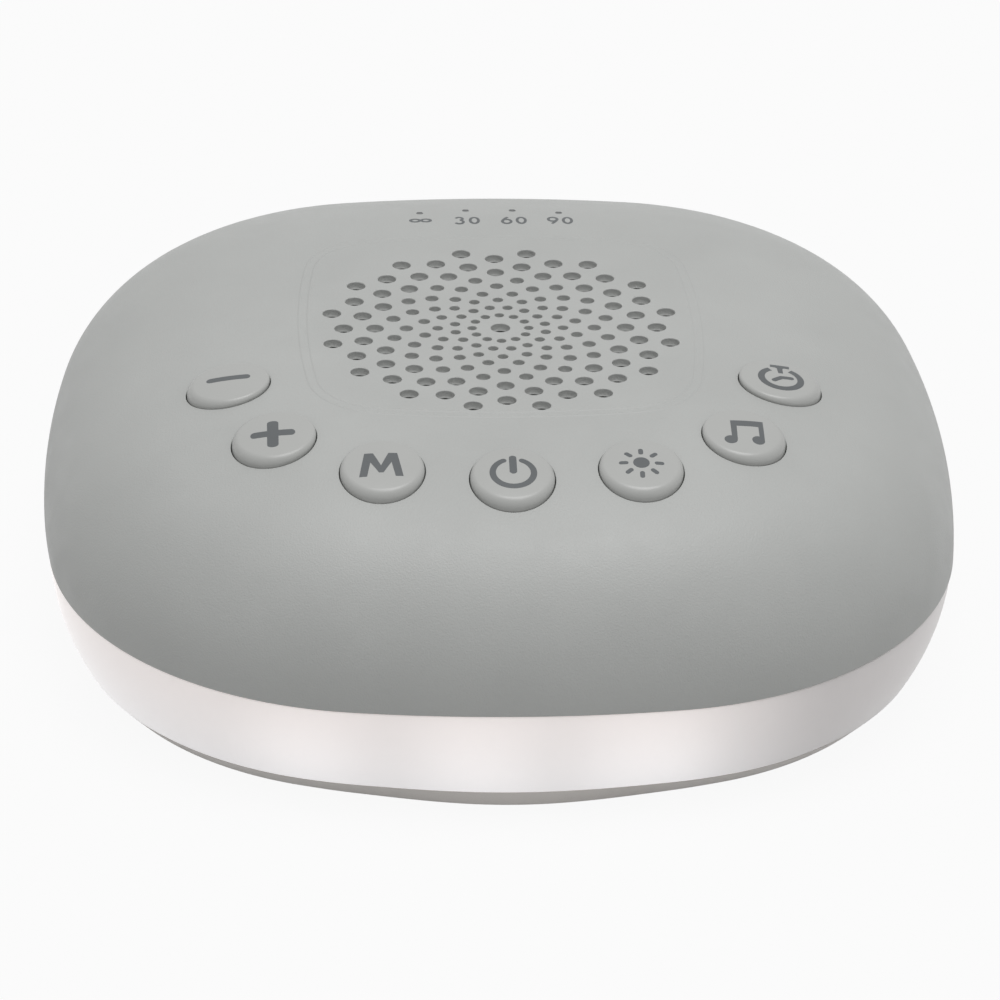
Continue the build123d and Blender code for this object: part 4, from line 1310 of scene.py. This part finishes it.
# ---- CAD nodes that stay
NODE_MATERIALS = [          # (ends of names, or whole names; material)
    (("grille_cloth",), dust_cloth),
    (("speaker_gasket",), foam),
    (("speaker_frame", "speaker_plate", "speaker_yoke", "power_port"), steel),
    (("speaker_magnet",), ferrite),
    (("voice_coil",), copper),
    (("speaker_cone", "dust_cap"), paper),
    (("key_board", "main_board", "_lamp_board"), board_plastic),
    (("timer_lamps",), clear_plastic),
    (("timer_light_pipe",), smoked),
    (("sound_controller", "amplifier_chip", "_plunger", "_switch"), dark_plastic),
    (("supply_capacitor",), can_metal),
    (tuple(f"_screw_{number}" for number in range(1, 5)), steel),
]


def dress_nodes():
    """Procedural material on every CAD node; those without an entry are hidden by their skins."""
    for name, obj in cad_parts.items():
        fitting = [material for ends, material in NODE_MATERIALS if name.endswith(ends)]
        obj.data.materials.clear()
        obj.data.materials.append(fitting[0] if fitting else shell_plastic)


# ---- camera, floor and light
def add_camera():
    """Camera at the photograph's viewing angle, from a fit of the housing's outline."""
    place = Vector((-33.532, -683.227 + GRILLE_Y, 345.002 + ROOF_LEVEL)) * MM
    ahead = Vector((0.04356342, 0.87815329, -0.47639167))
    right = Vector((0.99903662, -0.04081961, 0.01611189))
    up = Vector((0.00529742, 0.47663461, 0.87908554))
    data = bpy.data.cameras.new("camera")
    focal_share = 5.857     # focal length over the sensor's width
    data.sensor_width = 36.0
    data.lens = focal_share * data.sensor_width
    data.clip_start = 0.01
    data.clip_end = 20.0
    camera = add_object("camera", data)
    camera.matrix_world = Matrix.Translation(place) @ Matrix((right, up, -ahead)).transposed().to_4x4()
    bpy.context.scene.camera = camera


def add_floor():
    """Plain pale floor that looks nearly white to the camera and grey to the light."""
    half = 3.0
    whiteness = 0.93
    corners = [(-half, -half, 0), (half, -half, 0), (half, half, 0), (-half, half, 0)]
    mesh = bpy.data.meshes.new("floor")
    mesh.from_pydata(corners, [], [(0, 1, 2, 3)])
    material, tree, shader = new_material("floor")
    plug(tree, shader, {"Base Color": (0.50, 0.50, 0.50, 1), "Roughness": 0.9, "Specular IOR Level": 0.0})
    rays = tree.nodes.new("ShaderNodeLightPath").outputs
    seen = computed(tree, "MAXIMUM", rays["Is Camera Ray"], rays["Is Glossy Ray"])
    seen = computed(tree, "MAXIMUM", seen, rays["Is Transmission Ray"])
    glow = tree.nodes.new("ShaderNodeEmission")
    mix = add_node(tree, "ShaderNodeMixShader", {
        0: computed(tree, "MULTIPLY", seen, whiteness),
        1: shader.outputs["BSDF"],
        2: glow.outputs["Emission"],
    })
    plug(tree, tree.nodes["Material Output"], {"Surface": mix.outputs["Shader"]})
    mesh.materials.append(material)
    add_object("floor", mesh)


def add_light():
    """One large lamp overhead in an even pale surround."""
    place = Vector((0.12, -0.05, 1.3))
    data = bpy.data.lights.new("overhead", "AREA")
    data.shape = "SQUARE"
    data.size = 0.7
    data.energy = 8.2
    lamp = add_object("overhead", data)
    lamp.location = place
    lamp.rotation_euler = (-place).to_track_quat("-Z", "Y").to_euler()
    world = bpy.data.worlds.new("studio")
    world.use_nodes = True
    tree = world.node_tree
    rays = tree.nodes.new("ShaderNodeLightPath").outputs
    strength = ranged(tree, rays["Is Camera Ray"], 0.55, 1.0, 0, 1)
    plug(tree, tree.nodes["Background"], {"Color": (1, 1, 1, 1), "Strength": strength})
    bpy.context.scene.world = world
    bpy.context.scene.view_settings.view_transform = "Standard"


# ---- build
add_camera()
add_floor()
add_light()
dress_nodes()
shell_piece()
for key in KEY_ANGLES:
    key_piece(key)
    key_print(key)
timer_print()
for count, (wx, wy) in enumerate(window_places(), start=1):
    window_piece(count, wx, wy)
band_piece()
base_piece()
for count in range(1, 5):
    foot_piece(count)
    screw_piece(count)
soft_rings()
